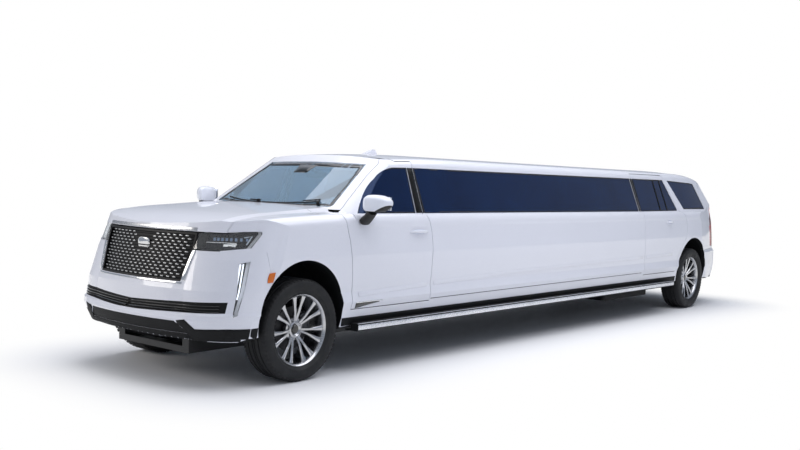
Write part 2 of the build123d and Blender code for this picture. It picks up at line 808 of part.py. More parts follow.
# ---------------------------------------------------------------- chassis
rail_in, rail_out = 380, 460
rail_low_z, rail_top_z = 235, 355
hitch_x, hitch_z = -4900, 293
hitch_in, hitch_out, hitch_pin_r = 25.5, 32, 8
with BuildPart() as chassis:
    for side in (1, -1):
        y_low, y_high = sorted((side * rail_in, side * rail_out))
        add(box(-4750, 4700, y_low, y_high, rail_low_z, rail_top_z))
    for member_x in (4600, 3930, 2900, 1500, 0, -1500, -2900, -4300, -4700):
        add(box(member_x, member_x + 100, -rail_in, rail_in, rail_low_z, rail_low_z + 50))
    with BuildSketch(Plane.XY.offset(rail_top_z)):
        cross_x = (3200, 2000, 800, -400, -1600, -2800, -4200)
        with Locations([(x, side * 420) for x in cross_x for side in (1, -1)]):
            Circle(38)
    extrude(amount=body_bottom_z - rail_top_z)
    add(box(hitch_x, hitch_x + 200, -hitch_out, hitch_out, hitch_z - hitch_out, hitch_z + hitch_out))
    add(box(hitch_x + 200, hitch_x + 250, -rail_in, rail_in, rail_low_z, hitch_z + hitch_out))
    add(
        box(hitch_x - 1, hitch_x + 190, -hitch_in, hitch_in, hitch_z - hitch_in, hitch_z + hitch_in),
        mode=Mode.SUBTRACT,
    )
    with BuildSketch(Plane.XZ.offset(-hitch_out - 5)):
        with Locations((hitch_x + 60, hitch_z)):
            Circle(hitch_pin_r)
    extrude(amount=2 * hitch_out + 10, mode=Mode.SUBTRACT)
save(chassis.part, "chassis_frame")

with BuildPart() as engine:
    add(box(3600, 4350, -320, 320, 400, 1060))
    add(box(3420, 3600, -170, 170, 280, 620))
    for side in (1, -1):
        y_low, y_high = sorted((side * 230, side * 320))
        add(box(3940, 4020, y_low, y_high, 285, 400))
save(engine.part, "engine_block")

shaft_z = 330
with BuildPart() as shaft:
    with BuildSketch(Plane.YZ.offset(3420)):
        with Locations((0, shaft_z)):
            Circle(38)
    extrude(amount=-(3420 - (rear_axle_x + 200)))
save(shaft.part, "propeller_shaft")

with BuildPart() as exhaust:
    with BuildLine():
        FilletPolyline((3560, -178, 430), (3520, -570, 430), (3460, -570, 300), (-4600, -570, 300), radius=50)
    with BuildSketch(Plane(origin=(3560, -178, 430), z_dir=(-40, -392, 0))):
        Circle(34)
    sweep()
    for silencer_x in (1000, -1240):
        with BuildSketch(Plane.YZ.offset(silencer_x)):
            with Locations((-600, 302)):
                SlotOverall(230, 120)
        extrude(amount=580)
save(exhaust.part, "exhaust_system")

with BuildPart() as tank:
    add(box(-2600, -1400, 480, 850, 245, 370))
    fillet(tank.edges().filter_by(Axis.Z), 40)
save(tank.part, "fuel_tank")

kingpin_y = 800
with BuildPart() as front_suspension:
    for side in (1, -1):
        for low_z, high_z, base_z in ((285, 310, rail_low_z), (528, 550, 0)):
            pivot = (front_axle_x, side * kingpin_y)
            with BuildSketch(Plane.XY.offset(low_z)):
                with BuildLine():
                    Polyline(
                        (front_axle_x - 160, side * rail_out),
                        (front_axle_x - 110, side * rail_out),
                        (front_axle_x, side * 690),
                        (front_axle_x + 110, side * rail_out),
                        (front_axle_x + 160, side * rail_out),
                        (front_axle_x + 30, side * 780),
                        (front_axle_x - 30, side * 780),
                        close=True,
                    )
                make_face()
                with Locations(pivot):
                    Circle(34)
            extrude(amount=high_z - low_z)
        y_low, y_high = sorted((side * 410, side * rail_out))
        add(box(front_axle_x - 160, front_axle_x + 160, y_low, y_high, rail_top_z, 555))
save(front_suspension.part, "front_suspension")


with BuildPart() as knuckle:
    with BuildSketch(Plane.XY.offset(316)):
        with Locations((front_axle_x, kingpin_y)):
            Circle(30)
    extrude(amount=206)
    with BuildSketch(Plane(origin=(front_axle_x, kingpin_y, tyre_r), x_dir=(1, 0, 0), z_dir=(0, 1, 0))):
        Circle(58)
    extrude(amount=32)
    with BuildSketch(Plane(origin=(front_axle_x, kingpin_y, tyre_r), x_dir=(1, 0, 0), z_dir=(0, 1, 0))):
        Circle(30)
    extrude(amount=100)
save_pair(knuckle.part, "front_knuckle")

with BuildPart() as rear_axle:
    for side in (1, -1):
        outward = Plane(origin=(rear_axle_x, 0, tyre_r), x_dir=(1, 0, 0), z_dir=(0, side, 0))
        with BuildSketch(outward):
            Circle(38)
        extrude(amount=kingpin_y)
        with BuildSketch(outward.offset(kingpin_y)):
            Circle(58)
        extrude(amount=32)
        with BuildSketch(outward.offset(kingpin_y)):
            Circle(30)
        extrude(amount=100)
        with BuildSketch(outward):
            Circle(115)
        extrude(amount=130)
        y_low, y_high = sorted((side * rail_out, side * 520))
        add(box(rear_axle_x, rear_axle_x + 620, y_low, y_high, 290, 350))
        add(box(rear_axle_x - 40, rear_axle_x + 40, y_low, y_high, 290, 400))
    add(box(rear_axle_x, rear_axle_x + 200, -50, 50, 290, 420))
save(rear_axle.part, "rear_axle")

with BuildPart() as liners:
    for axle_x, y_in in ((front_axle_x, 700), (rear_axle_x, 600)):
        with BuildSketch(Plane.XZ.offset(-955)):
            with Locations((axle_x, arch_centre_z)):
                Circle(arch_r + 29)
                Circle(arch_r + 21, mode=Mode.SUBTRACT)
            with Locations((axle_x, 90)):
                Rectangle(2000, 580, mode=Mode.SUBTRACT)
        extrude(amount=955 - y_in)
    with BuildSketch(Plane.XZ.offset(-608)):
        with Locations((rear_axle_x, arch_centre_z)):
            Circle(arch_r + 25)
        with Locations((rear_axle_x, 280)):
            Rectangle(2000, 584, mode=Mode.SUBTRACT)
    extrude(amount=7)
save_both(liners.part, "arch_liners")

# ---------------------------------------------------------------- wheels
tyre_section = ((292, 108), (330, 132), (372, 137), (405, 122), (417, 96))
with BuildPart() as tyre:
    with BuildSketch(Plane.YZ):
        with BuildLine():
            right_side = [(offset_y, radius) for radius, offset_y in tyre_section]
            left_side = [(-offset_y, radius) for radius, offset_y in reversed(tyre_section)]
            Polyline(*right_side, *left_side, close=True)
        make_face()
    revolve(axis=Axis.Y)

spoke_pairs = 7
with BuildPart() as rim:
    with BuildSketch(Plane.YZ):
        with BuildLine():
            Polyline(
                (-112, 291.5), (112, 291.5), (112, 284), (100, 276), (60, 262), (-100, 262), (-112, 280),
                close=True,
            )
        make_face()
        with BuildLine():
            Polyline((14, 30.6), (14, 75), (34, 88), (58, 80), (58, 0), (34, 0), (34, 30.6), close=True)
        make_face()
    revolve(axis=Axis.Y)
    with BuildSketch(Plane(origin=(0, 42, 0), x_dir=(1, 0, 0), z_dir=(0, 1, 0))):
        for index in range(spoke_pairs):
            for lean in (-10.5, 10.5):
                mid = 360 / spoke_pairs * index
                with Locations(Rotation(0, 0, mid)):
                    with BuildLine(mode=Mode.PRIVATE) as edge:
                        Polyline((60, -14), (268, 268 * math.tan(math.radians(lean)) - 12),
                                 (268, 268 * math.tan(math.radians(lean)) + 12), (60, 14), close=True)
                    add(make_face(edge.edges(), mode=Mode.PRIVATE))
    extrude(amount=26)
    with BuildSketch(Plane(origin=(0, -30, 0), x_dir=(1, 0, 0), z_dir=(0, 1, 0))):
        Circle(185)
        Circle(70, mode=Mode.SUBTRACT)
    extrude(amount=22)
    with BuildSketch(Plane(origin=(0, -30, 0), x_dir=(1, 0, 0), z_dir=(0, 1, 0))):
        Circle(88)
        Circle(62, mode=Mode.SUBTRACT)
    extrude(amount=60)

for end, axle_x in (("front", front_axle_x), ("rear", rear_axle_x)):
    for side_name, side in (("left", 1), ("right", -1)):
        for kind, piece in (("tyre", tyre.part), ("wheel", rim.part)):
            with BuildPart() as placed:
                if side == 1:
                    add(Pos(axle_x, track_y, tyre_r) * piece)
                else:
                    add(Pos(axle_x, -track_y, tyre_r) * mirror(piece, about=Plane.XZ, mode=Mode.PRIVATE))
            save(placed.part, f"{end}_{side_name}_{kind}")

# ---------------------------------------------------------------- outside fittings
board_front_x, board_rear_x = 3653, -2912
with BuildPart() as boards:
    with BuildSketch(Plane.YZ.offset(board_rear_x)):
        with BuildLine():
            Polyline(
                (940, 360), (1072, 360), (1085, 372), (1085, 414), (1074, 425), (1004, 425), (1004, 371),
                (940, 371), close=True,
            )
        make_face()
    extrude(amount=board_front_x - board_rear_x - 240)
    for bracket_x in (3100, 1900, 700, -600, -1330, -2700):
        add(box(bracket_x, bracket_x + 60, rail_out, 950, 345, 371))
save_both(boards.part, "running_boards")

mirror_view = (
    (1050, 1368), (1150, 1366), (1222, 1418), (1230, 1445), (1204, 1500), (1135, 1521), (1075, 1518),
    (1046, 1482),
)
mirror_plan = ((3395, 1040), (3388, 1090), (3345, 1170), (3285, 1235), (3150, 1240), (3165, 1040))
mirror_foot_view = ((1018, 1264), (1040, 1258), (1120, 1340), (1120, 1372), (1052, 1372), (1018, 1322))
with BuildPart() as mirror_housing:
    add(front_block(mirror_view, 3140, 3400))
    add(plan_block(mirror_plan, 1350, 1540), mode=Mode.INTERSECT)
    add(front_block(mirror_foot_view, 3230, 3380))
save_pair(mirror_housing.part, "door_mirror")

with BuildPart() as antenna:
    with BuildSketch(Plane.XZ.offset(-22)):
        with BuildLine():
            Polyline((2205, 1897), (2010, 1898.5), (2040, 1945), (2066, 1950), close=True)
        make_face()
    extrude(amount=44)
save(antenna.part, "roof_antenna")

# ---------------------------------------------------------------- cabin
with BuildPart() as dashboard:
    with BuildSketch(Plane.XZ.offset(-880)):
        with BuildLine():
            Polyline((3339, 760), (3339, 1250), (3120, 1200), (3010, 1110), (3060, 860), close=True)
        make_face()
    extrude(amount=1760)
    add(box(2550, 3150, -130, 130, floor_top_z, 900))

wheel_centre = (2860, 400, 1130)
wheel_tilt = 25
column_plane = Plane(
    origin=wheel_centre,
    x_dir=(0, 1, 0),
    z_dir=(-math.cos(math.radians(wheel_tilt)), 0, math.sin(math.radians(wheel_tilt))),
)
with BuildPart() as steering_wheel:
    with BuildSketch(column_plane.offset(-16)):
        Circle(185)
        Circle(155, mode=Mode.SUBTRACT)
        Rectangle(330, 40)
        Circle(60)
    extrude(amount=30)
save(steering_wheel.part, "steering_wheel")

with BuildPart() as dash_and_column:
    add(dashboard.part)
    with BuildSketch(column_plane.offset(-22)):
        Circle(28)
    extrude(amount=-215)
save(dash_and_column.part, "dashboard")

with BuildPart() as front_seats:
    for side in (1, -1):
        with BuildSketch(Plane.XZ.offset(-side * 400 - 260)):
            with BuildLine():
                Polyline(
                    (2640, floor_top_z), (2700, 640), (2760, 780), (2280, 740), (2120, 1300), (2080, 1480),
                    (1985, 1475), (2000, 1280), (2120, 620), (2160, floor_top_z), close=True,
                )
            make_face()
        extrude(amount=520)
save(front_seats.part, "front_seats")

with BuildPart() as partition:
    add(inner_form)
    add(box(1820, 1870, -far, far, floor_top_z, 2200), mode=Mode.INTERSECT)
save(partition.part, "partition")

with BuildPart() as lounge_seats:
    with BuildSketch(Plane.XZ.offset(-590)):
        with BuildLine():
            Polyline(
                (-2950, 575), (-2900, 720), (-3330, 690), (-3480, 1180), (-3480, 1330), (-3600, 1330),
                (-3560, 575), close=True,
            )
        make_face()
    extrude(amount=1180)
    with BuildSketch(Plane.YZ.offset(-2000)):
        with BuildLine():
            Polyline(
                (-380, floor_top_z), (-350, 700), (-730, 680), (-780, 1200), (-860, 1200), (-860, 560),
                (-812, 520), (-812, floor_top_z), close=True,
            )
        make_face()
    extrude(amount=3500)
save(lounge_seats.part, "lounge_seats")

with BuildPart() as cabinet:
    add(box(-1500, 1500, 560, 812, floor_top_z, 1120))
save(cabinet.part, "bar_cabinet")
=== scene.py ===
import json
import math

import bmesh
import bpy
from mathutils import Matrix, Vector
from mathutils.bvhtree import BVHTree


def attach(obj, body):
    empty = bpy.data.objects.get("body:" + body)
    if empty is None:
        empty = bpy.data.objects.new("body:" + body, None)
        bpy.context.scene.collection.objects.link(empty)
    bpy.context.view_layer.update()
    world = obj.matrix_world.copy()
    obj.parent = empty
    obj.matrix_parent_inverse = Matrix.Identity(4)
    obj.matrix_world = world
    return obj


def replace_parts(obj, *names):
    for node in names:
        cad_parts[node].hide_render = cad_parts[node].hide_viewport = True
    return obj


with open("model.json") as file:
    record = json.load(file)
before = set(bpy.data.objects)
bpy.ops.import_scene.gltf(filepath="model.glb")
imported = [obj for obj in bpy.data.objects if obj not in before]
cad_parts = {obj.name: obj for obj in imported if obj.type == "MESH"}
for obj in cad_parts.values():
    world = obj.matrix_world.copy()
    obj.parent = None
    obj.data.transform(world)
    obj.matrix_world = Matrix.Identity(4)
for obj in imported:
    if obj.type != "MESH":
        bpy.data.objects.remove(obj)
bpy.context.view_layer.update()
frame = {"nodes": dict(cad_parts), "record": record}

scene = bpy.context.scene
nodes = frame["nodes"]
mm = 0.001
sides = (("left", 1), ("right", -1))
doors = [word + "_" + end + "_door" for word, side in sides for end in ("front", "rear")]

# camera place in metres, turns in degrees, lens and sensor in millimetres
view = {
    "place": (9.660, 6.623, 1.668),
    "yaw": 219.33,
    "pitch": -2.691,
    "roll": 2.022,
    "lens": 44.71,
    "sensor": 36,
    "farClip": 200,
}
# the cool world's colour and strength, then each lamp's colour, watts, place and size
light = {
    "world": ("#d3dcec", 0.5),
    "sky": ("#fafaff", 640, (0.5, 1.0, 6.5), 11.0),
    "front": ("#fff8f0", 340, (11.5, -6.2, 5.0), 5.0),
    "side": ("#dfe5fa", 30, (1.0, 11.0, 4.2), 6.0),
}
lampAim = Vector((0, 0, 0.9))
studioFloor = {
    "size": 60,
    "colours": ("#f0f1f3", "#f6f6f7"),
    "roughness": 0.6,
    "gloss": 0.2,
    "carHalf": (4.4, 0.7, 0),  # half length and width around which the floor shows
    "fade": (0.2, 1.5),  # from here to here beyond that, it turns to plain white
}


def linear(hexText):
    parts = [int(hexText[i:i + 2], 16) / 255 for i in (1, 3, 5)]
    return tuple(c / 12.92 if c <= 0.04045 else ((c + 0.055) / 1.055) ** 2.4 for c in parts) + (1.0,)


def addNode(tree, kind, links=None, ramp=(), **settings):
    made = tree.nodes.new(kind)
    for name, value in settings.items():
        setattr(made, name, value)
    for socket, value in (links or {}).items():
        if isinstance(value, bpy.types.NodeSocket):
            tree.links.new(value, made.inputs[socket])
        else:
            made.inputs[socket].default_value = value
    for index, (position, hexText) in enumerate(ramp):
        made.color_ramp.elements[index].position = position
        made.color_ramp.elements[index].color = linear(hexText)
    return made


def placeCamera():
    yaw, pitch, roll = (math.radians(view[k]) for k in ("yaw", "pitch", "roll"))
    forward = Vector((math.cos(yaw) * math.cos(pitch), math.sin(yaw) * math.cos(pitch), math.sin(pitch)))
    right = forward.cross(Vector((0, 0, 1))).normalized()
    up = right.cross(forward)
    across = right * math.cos(roll) + up * math.sin(roll)
    upward = up * math.cos(roll) - right * math.sin(roll)
    data = bpy.data.cameras.new("camera")
    data.lens = view["lens"]
    data.sensor_width = view["sensor"]
    data.clip_end = view["farClip"]
    camera = bpy.data.objects.new("camera", data)
    turned = Matrix((across, upward, -forward)).transposed().to_4x4()
    camera.matrix_world = Matrix.Translation(Vector(view["place"])) @ turned
    scene.collection.objects.link(camera)
    scene.camera = camera


def placeLamp(name, colour, watts, place, size):
    data = bpy.data.lights.new(name, "AREA")
    data.shape = "DISK"
    data.size = size
    data.energy = watts
    data.color = linear(colour)[:3]
    lamp = bpy.data.objects.new(name, data)
    lamp.location = place
    lamp.rotation_euler = (lampAim - Vector(place)).to_track_quat("-Z", "Y").to_euler()
    scene.collection.objects.link(lamp)


def placeWorld():
    # plain white where the camera looks past the car, cool and dim as a light
    world = bpy.data.worlds.new("studio")
    scene.world = world
    world.use_nodes = True
    tree = world.node_tree
    tree.nodes.clear()
    colour, strength = light["world"]
    rays = addNode(tree, "ShaderNodeLightPath").outputs
    seen = addNode(tree, "ShaderNodeMath", {0: rays["Is Camera Ray"], 1: rays["Is Transmission Ray"]},
                   operation="MAXIMUM")
    dim = addNode(tree, "ShaderNodeBackground", {"Color": linear(colour), "Strength": strength})
    white = addNode(tree, "ShaderNodeBackground", {"Color": linear("#ffffff"), "Strength": 1.0})
    mix = addNode(tree, "ShaderNodeMixShader", {0: seen.outputs[0], 1: dim.outputs[0], 2: white.outputs[0]})
    addNode(tree, "ShaderNodeOutputWorld", {"Surface": mix.outputs[0]})


def startMaterial(name):
    material = bpy.data.materials.new(name)
    material.use_nodes = True
    tree = material.node_tree
    return material, tree, addNode(tree, "ShaderNodeTexCoord").outputs["Object"]


def setShader(material, **sockets):
    # a socket's spaces are written _; an output is linked, and a number or colour is set
    tree = material.node_tree
    for name, value in sockets.items():
        socket = tree.nodes["Principled BSDF"].inputs[name.replace("_", " ")]
        if isinstance(value, bpy.types.NodeSocket):
            tree.links.new(value, socket)
        else:
            socket.default_value = value
    return material


def placeFloor():
    # pale studio floor that keeps the shadow under the car and runs out into plain white around it
    bm = bmesh.new()
    bmesh.ops.create_grid(bm, x_segments=1, y_segments=1, size=studioFloor["size"])
    mesh = bpy.data.meshes.new("floor")
    bm.to_mesh(mesh)
    bm.free()
    floor = bpy.data.objects.new("floor", mesh)
    scene.collection.objects.link(floor)
    material, tree, place = startMaterial("studio floor, matt painted")
    grain = addNode(tree, "ShaderNodeTexNoise", {"Vector": place, "Scale": 0.6, "Detail": 3.0})
    tone = addNode(tree, "ShaderNodeValToRGB", {0: grain.outputs[0]},
                   ramp=zip((0, 1), studioFloor["colours"]))
    setShader(material, Base_Color=tone.outputs[0], Roughness=studioFloor["roughness"],
              Specular_IOR_Level=studioFloor["gloss"])
    either = addNode(tree, "ShaderNodeVectorMath", {0: place}, operation="ABSOLUTE")
    past = addNode(tree, "ShaderNodeVectorMath", {0: either.outputs[0], 1: studioFloor["carHalf"]},
                   operation="SUBTRACT")
    clear = addNode(tree, "ShaderNodeVectorMath", {0: past.outputs[0], 1: (0, 0, 0)}, operation="MAXIMUM")
    away = addNode(tree, "ShaderNodeVectorMath", {0: clear.outputs[0]}, operation="LENGTH").outputs["Value"]
    near, far = studioFloor["fade"]
    fade = addNode(tree, "ShaderNodeMapRange", {0: away, 1: near, 2: far, 3: 0.0, 4: 1.0},
                   interpolation_type="SMOOTHSTEP")
    rays = addNode(tree, "ShaderNodeLightPath").outputs
    seen = addNode(tree, "ShaderNodeMath", {0: rays["Is Camera Ray"], 1: rays["Is Glossy Ray"]},
                   operation="MAXIMUM")
    through = addNode(tree, "ShaderNodeMath", {0: seen.outputs[0], 1: rays["Is Transmission Ray"]},
                      operation="MAXIMUM")
    share = addNode(tree, "ShaderNodeMath", {0: fade.outputs[0], 1: through.outputs[0]}, operation="MULTIPLY")
    white = addNode(tree, "ShaderNodeEmission", {"Color": linear("#ffffff"), "Strength": 1.0})
    shader = tree.nodes["Principled BSDF"]
    mix = addNode(tree, "ShaderNodeMixShader",
                  {0: share.outputs[0], 1: shader.outputs[0], 2: white.outputs[0]})
    tree.links.new(mix.outputs[0], tree.nodes["Material Output"].inputs["Surface"])
    mesh.materials.append(material)


def finish(name, colours, metallic, roughness, grainMm, bumpMm, spread=0.08, **sockets):
    # two close colours that drift over about 330 mm, and a grain of a real size in roughness and relief
    material, tree, place = startMaterial(name)
    grain = addNode(tree, "ShaderNodeTexNoise", {"Vector": place, "Scale": 1 / (grainMm * mm), "Detail": 4.0})
    broad = addNode(tree, "ShaderNodeTexNoise", {"Vector": place, "Scale": 3.0, "Detail": 3.0})
    tone = addNode(tree, "ShaderNodeValToRGB", {0: broad.outputs[0]}, ramp=zip((0.35, 0.65), colours))
    smoothest = max(roughness - spread, 0.02)
    rough = addNode(tree, "ShaderNodeMapRange",
                    {0: grain.outputs[0], 1: 0.3, 2: 0.7, 3: smoothest, 4: roughness + spread})
    if bumpMm:
        relief = addNode(tree, "ShaderNodeBump",
                         {"Height": grain.outputs[0], "Distance": bumpMm * mm, "Strength": 1.0})
        sockets["Normal"] = relief.outputs[0]
    return setShader(material, Base_Color=tone.outputs[0], Roughness=rough.outputs[0], Metallic=metallic,
                     **sockets)


def pearlPaint():
    # white tri-coat pearl under clear lacquer: fine flake sparkle, faint orange peel, hard gloss on top
    material, tree, place = startMaterial("white pearl car paint, lacquered")
    flake = addNode(tree, "ShaderNodeTexVoronoi", {"Vector": place, "Scale": 1 / (2.2 * mm)})
    tone = addNode(tree, "ShaderNodeValToRGB", {0: flake.outputs["Color"]},
                   ramp=((0, "#dcdde5"), (1, "#e8e9ef")))
    peel = addNode(tree, "ShaderNodeTexNoise", {"Vector": place, "Scale": 1 / (9 * mm), "Detail": 1.0})
    relief = addNode(tree, "ShaderNodeBump",
                     {"Height": peel.outputs[0], "Distance": 0.02 * mm, "Strength": 0.35})
    rough = addNode(tree, "ShaderNodeMapRange",
                    {0: flake.outputs["Distance"], 1: 0.0, 2: 0.6, 3: 0.34, 4: 0.46})
    return setShader(material, Base_Color=tone.outputs[0], Coat_Normal=relief.outputs[0],
                     Roughness=rough.outputs[0], Coat_Weight=0.9, Coat_Roughness=0.03, Specular_IOR_Level=0.5)


def carGlass(name, tint, roughness=0.0, seeThrough=1.0, **sockets):
    # float glass or clear moulded plastic: gloss, tinted through, with faint unevenness in the face
    material, tree, place = startMaterial(name)
    wave = addNode(tree, "ShaderNodeTexNoise", {"Vector": place, "Scale": 2.5, "Detail": 1.0})
    tone = addNode(tree, "ShaderNodeValToRGB", {0: wave.outputs[0]}, ramp=zip((0, 1), tint))
    return setShader(material, Base_Color=tone.outputs[0], Transmission_Weight=seeThrough,
                     Roughness=roughness, IOR=1.5, **sockets)


def tyreRubber():
    # moulded black rubber: a fine 1.5 mm grain on the wall and a dusty bloom in soft clouds
    material, tree, place = startMaterial("tyre rubber, moulded")
    dust = addNode(tree, "ShaderNodeTexNoise", {"Vector": place, "Scale": 1 / (60 * mm), "Detail": 5.0})
    fine = addNode(tree, "ShaderNodeTexNoise", {"Vector": place, "Scale": 1 / (1.5 * mm), "Detail": 2.0})
    tone = addNode(tree, "ShaderNodeValToRGB", {0: dust.outputs[0]},
                   ramp=((0.4, "#101113"), (0.7, "#1d1e20")))
    relief = addNode(tree, "ShaderNodeBump",
                     {"Height": fine.outputs[0], "Distance": 0.25 * mm, "Strength": 0.7})
    rough = addNode(tree, "ShaderNodeMapRange", {0: dust.outputs[0], 1: 0.3, 2: 0.7, 3: 0.55, 4: 0.85})
    return setShader(material, Base_Color=tone.outputs[0], Normal=relief.outputs[0],
                     Roughness=rough.outputs[0])


def seatLeather():
    # black nappa: pebbled grain about 3 mm across with darker creases and a soft sheen
    material, tree, place = startMaterial("black nappa leather, grained")
    cell = addNode(tree, "ShaderNodeTexVoronoi", {"Vector": place, "Scale": 1 / (3 * mm)},
                   feature="DISTANCE_TO_EDGE")
    broad = addNode(tree, "ShaderNodeTexNoise", {"Vector": place, "Scale": 1 / (90 * mm), "Detail": 4.0})
    tone = addNode(tree, "ShaderNodeValToRGB", {0: broad.outputs[0]}, ramp=((0, "#1c1a19"), (1, "#2c2927")))
    relief = addNode(tree, "ShaderNodeBump",
                     {"Height": cell.outputs["Distance"], "Distance": 0.4 * mm, "Strength": 0.6})
    rough = addNode(tree, "ShaderNodeMapRange",
                    {0: cell.outputs["Distance"], 1: 0.0, 2: 0.3, 3: 0.6, 4: 0.42})
    return setShader(material, Base_Color=tone.outputs[0], Normal=relief.outputs[0],
                     Roughness=rough.outputs[0], Sheen_Weight=0.12)


def lacqueredVeneer():
    # dark walnut veneer under gloss lacquer: rings stretched along the cabin
    material, tree, place = startMaterial("dark walnut veneer, lacquered")
    along = addNode(tree, "ShaderNodeMapping", {"Vector": place, "Scale": (0.25, 4.0, 4.0)})
    ring = addNode(tree, "ShaderNodeTexWave",
                   {"Vector": along.outputs[0], "Scale": 6.0, "Distortion": 5.0, "Detail": 3.0})
    tone = addNode(tree, "ShaderNodeValToRGB", {0: ring.outputs[0]}, ramp=((0, "#2a170e"), (1, "#4a2c1a")))
    rough = addNode(tree, "ShaderNodeMapRange", {0: ring.outputs[0], 1: 0.0, 2: 1.0, 3: 0.28, 4: 0.42})
    return setShader(material, Base_Color=tone.outputs[0], Roughness=rough.outputs[0], Coat_Weight=0.8)


# the painted cap starts at baseZ, and from bendY outwards its lower edge rises by slope
mirrorSplit = {"bendY": 1.150, "slope": 0.72, "baseZ": 1.381}


def mirrorShell():
    # painted cap over a black grained base
    material, tree, place = startMaterial("mirror shell, painted cap on black plastic")
    axes = addNode(tree, "ShaderNodeSeparateXYZ", {0: place})
    out = addNode(tree, "ShaderNodeMath", {0: axes.outputs[1]}, operation="ABSOLUTE")
    past = addNode(tree, "ShaderNodeMath", {0: out.outputs[0], 1: mirrorSplit["bendY"]}, operation="SUBTRACT")
    rise = addNode(tree, "ShaderNodeMath", {0: past.outputs[0], 1: 0.0}, operation="MAXIMUM")
    edge = addNode(tree, "ShaderNodeMath",
                   {0: rise.outputs[0], 1: mirrorSplit["slope"], 2: mirrorSplit["baseZ"]},
                   operation="MULTIPLY_ADD")
    above = addNode(tree, "ShaderNodeMath", {0: axes.outputs[2], 1: edge.outputs[0]},
                    operation="GREATER_THAN")
    colour = addNode(tree, "ShaderNodeMix", {0: above.outputs[0], 6: linear("#0d0e10"), 7: linear("#e8ebf3")},
                     data_type="RGBA")
    grain = addNode(tree, "ShaderNodeTexNoise", {"Vector": place, "Scale": 1 / (1.2 * mm)})
    rough = addNode(tree, "ShaderNodeMapRange", {0: above.outputs[0], 1: 0.0, 2: 1.0, 3: 0.55, 4: 0.4})
    relief = addNode(tree, "ShaderNodeBump",
                     {"Height": grain.outputs[0], "Distance": 0.06 * mm, "Strength": 0.4})
    coat = addNode(tree, "ShaderNodeMath", {0: above.outputs[0], 1: 0.9}, operation="MULTIPLY")
    return setShader(material, Base_Color=colour.outputs[2], Roughness=rough.outputs[0],
                     Normal=relief.outputs[0], Coat_Weight=coat.outputs[0])


# name, two colours, metallic, roughness, grain and relief in millimetres, spread of the roughness
paint = pearlPaint()
tyre = tyreRubber()
leather = seatLeather()
veneer = lacqueredVeneer()
mirrorFinish = mirrorShell()
blackTrim = finish("black plastic trim, grained", ("#0b0c0e", "#111214"), 0, 0.66, 1.0, 0.08,
                   Specular_IOR_Level=0.25)
meshBlack = finish("grille plate, satin black", ("#08090b", "#0d0e11"), 0, 0.5, 2.0, 0.05,
                   Specular_IOR_Level=0.3)
glossBlack = finish("piano black moulding", ("#060708", "#0b0c0e"), 0, 0.12, 6, 0.01, 0.04, Coat_Weight=0.6)
chrome = finish("bright chrome plate", ("#d9dadb", "#e6e7e8"), 1, 0.1, 12, 0.01, 0.05)
satinChrome = finish("satin chrome plate", ("#b9babd", "#c9cacc"), 1, 0.28, 4, 0.02)
alloy = finish("machined cast alloy, lacquered", ("#b4b5b8", "#cfd0d2"), 1, 0.24, 2.5, 0.02, Coat_Weight=0.5)
rubberSeal = finish("rubber window seal", ("#08090a", "#0e0f10"), 0, 0.62, 1.5, 0.05)
windscreenGlass = carGlass("laminated windscreen glass", ("#a2c3dc", "#b2d0e4"), 0.0, 0.74)
# painted reflection: the blue specular tint stands in for blue sky reflected in the glass; the blue in the
# tint colours is partly the glass's own dark tint, partly painted sky reflection
privacyGlass = carGlass("dark privacy glass", ("#08224c", "#103568"), 0.0, 0.66,
                        Specular_Tint=linear("#7fa8ee"))
lampCover = carGlass("clear moulded lamp cover", ("#f2f5f8", "#f8fafb"), Specular_IOR_Level=0.12)
tailCover = carGlass("deep red lamp cover", ("#7c0a10", "#8f0d14"), 0.05, 0.55)
amber = carGlass("amber marker lens", ("#e8761d", "#ee8426"), 0.08, 0.35)
lampBody = finish("lamp housing, dark metallised", ("#06080d", "#0d1119"), 0, 0.4, 8, 0.03,
                  Specular_IOR_Level=0.12)
lampLens = finish("lamp lens, unlit", ("#5d7290", "#7288a6"), 0.2, 0.25, 3, 0.01)
lampEdge = finish("lamp light guide, unlit", ("#b9c6d8", "#cdd8e6"), 0.1, 0.25, 3, 0.01)
ledLens = finish("lamp light guide, lit", ("#f2f6ff", "#ffffff"), 0, 0.2, 3, 0.01,
                 Emission_Color=linear("#eef4ff"), Emission_Strength=1.1)
tailGlow = finish("red light guide", ("#b5121b", "#c4161f"), 0, 0.25, 3, 0.01,
                  Emission_Color=linear("#c4161f"), Emission_Strength=0.35)
screenFaceLit = finish("display glass, dark", ("#10161f", "#182230"), 0, 0.08, 40, 0, 0.02,
                       Emission_Color=linear("#1c2c44"), Emission_Strength=0.25)
mirrorGlass = finish("silvered mirror glass", ("#dfe3e8", "#e8ebef"), 1, 0.03, 40, 0, 0.01)
# painted shade: car paint a step darker, laid where the handle's recess would be in shade
cupShade = finish("car paint in the handle recess", ("#c3c7d6", "#cdd1de"), 0, 0.3, 9, 0.02)
boardStrip = finish("running board edge, bright anodised", ("#d4d7de", "#e2e4ea"), 0.75, 0.3, 6, 0.02)
plateBlank = finish("blank plate, white coated aluminium", ("#e6e7e9", "#eeeff1"), 0, 0.35, 3, 0.01)
pillarFilm = finish("pillar cover, satin black film", ("#050608", "#090a0c"), 0, 0.5, 3, 0.01,
                    Specular_IOR_Level=0.15)
headlining = finish("headlining fabric, woven", ("#5d5b58", "#6a6865"), 0, 0.9, 1.2, 0.3)
cabinTrim = finish("cabin side trim, black soft touch", ("#1b1b1c", "#252526"), 0, 0.62, 1.4, 0.25)
carpet = finish("cabin carpet, tufted", ("#1d1c1b", "#2a2826"), 0, 0.95, 3, 2.2)
dashPlastic = finish("soft dashboard skin", ("#161617", "#202022"), 0, 0.6, 1.4, 0.25)
chassisPaint = finish("chassis paint, satin black", ("#121315", "#1b1c1e"), 0, 0.42, 8, 0.1)
underPaint = finish("underbody coating, textured", ("#1c1d1f", "#26272a"), 0, 0.8, 4, 0.8)
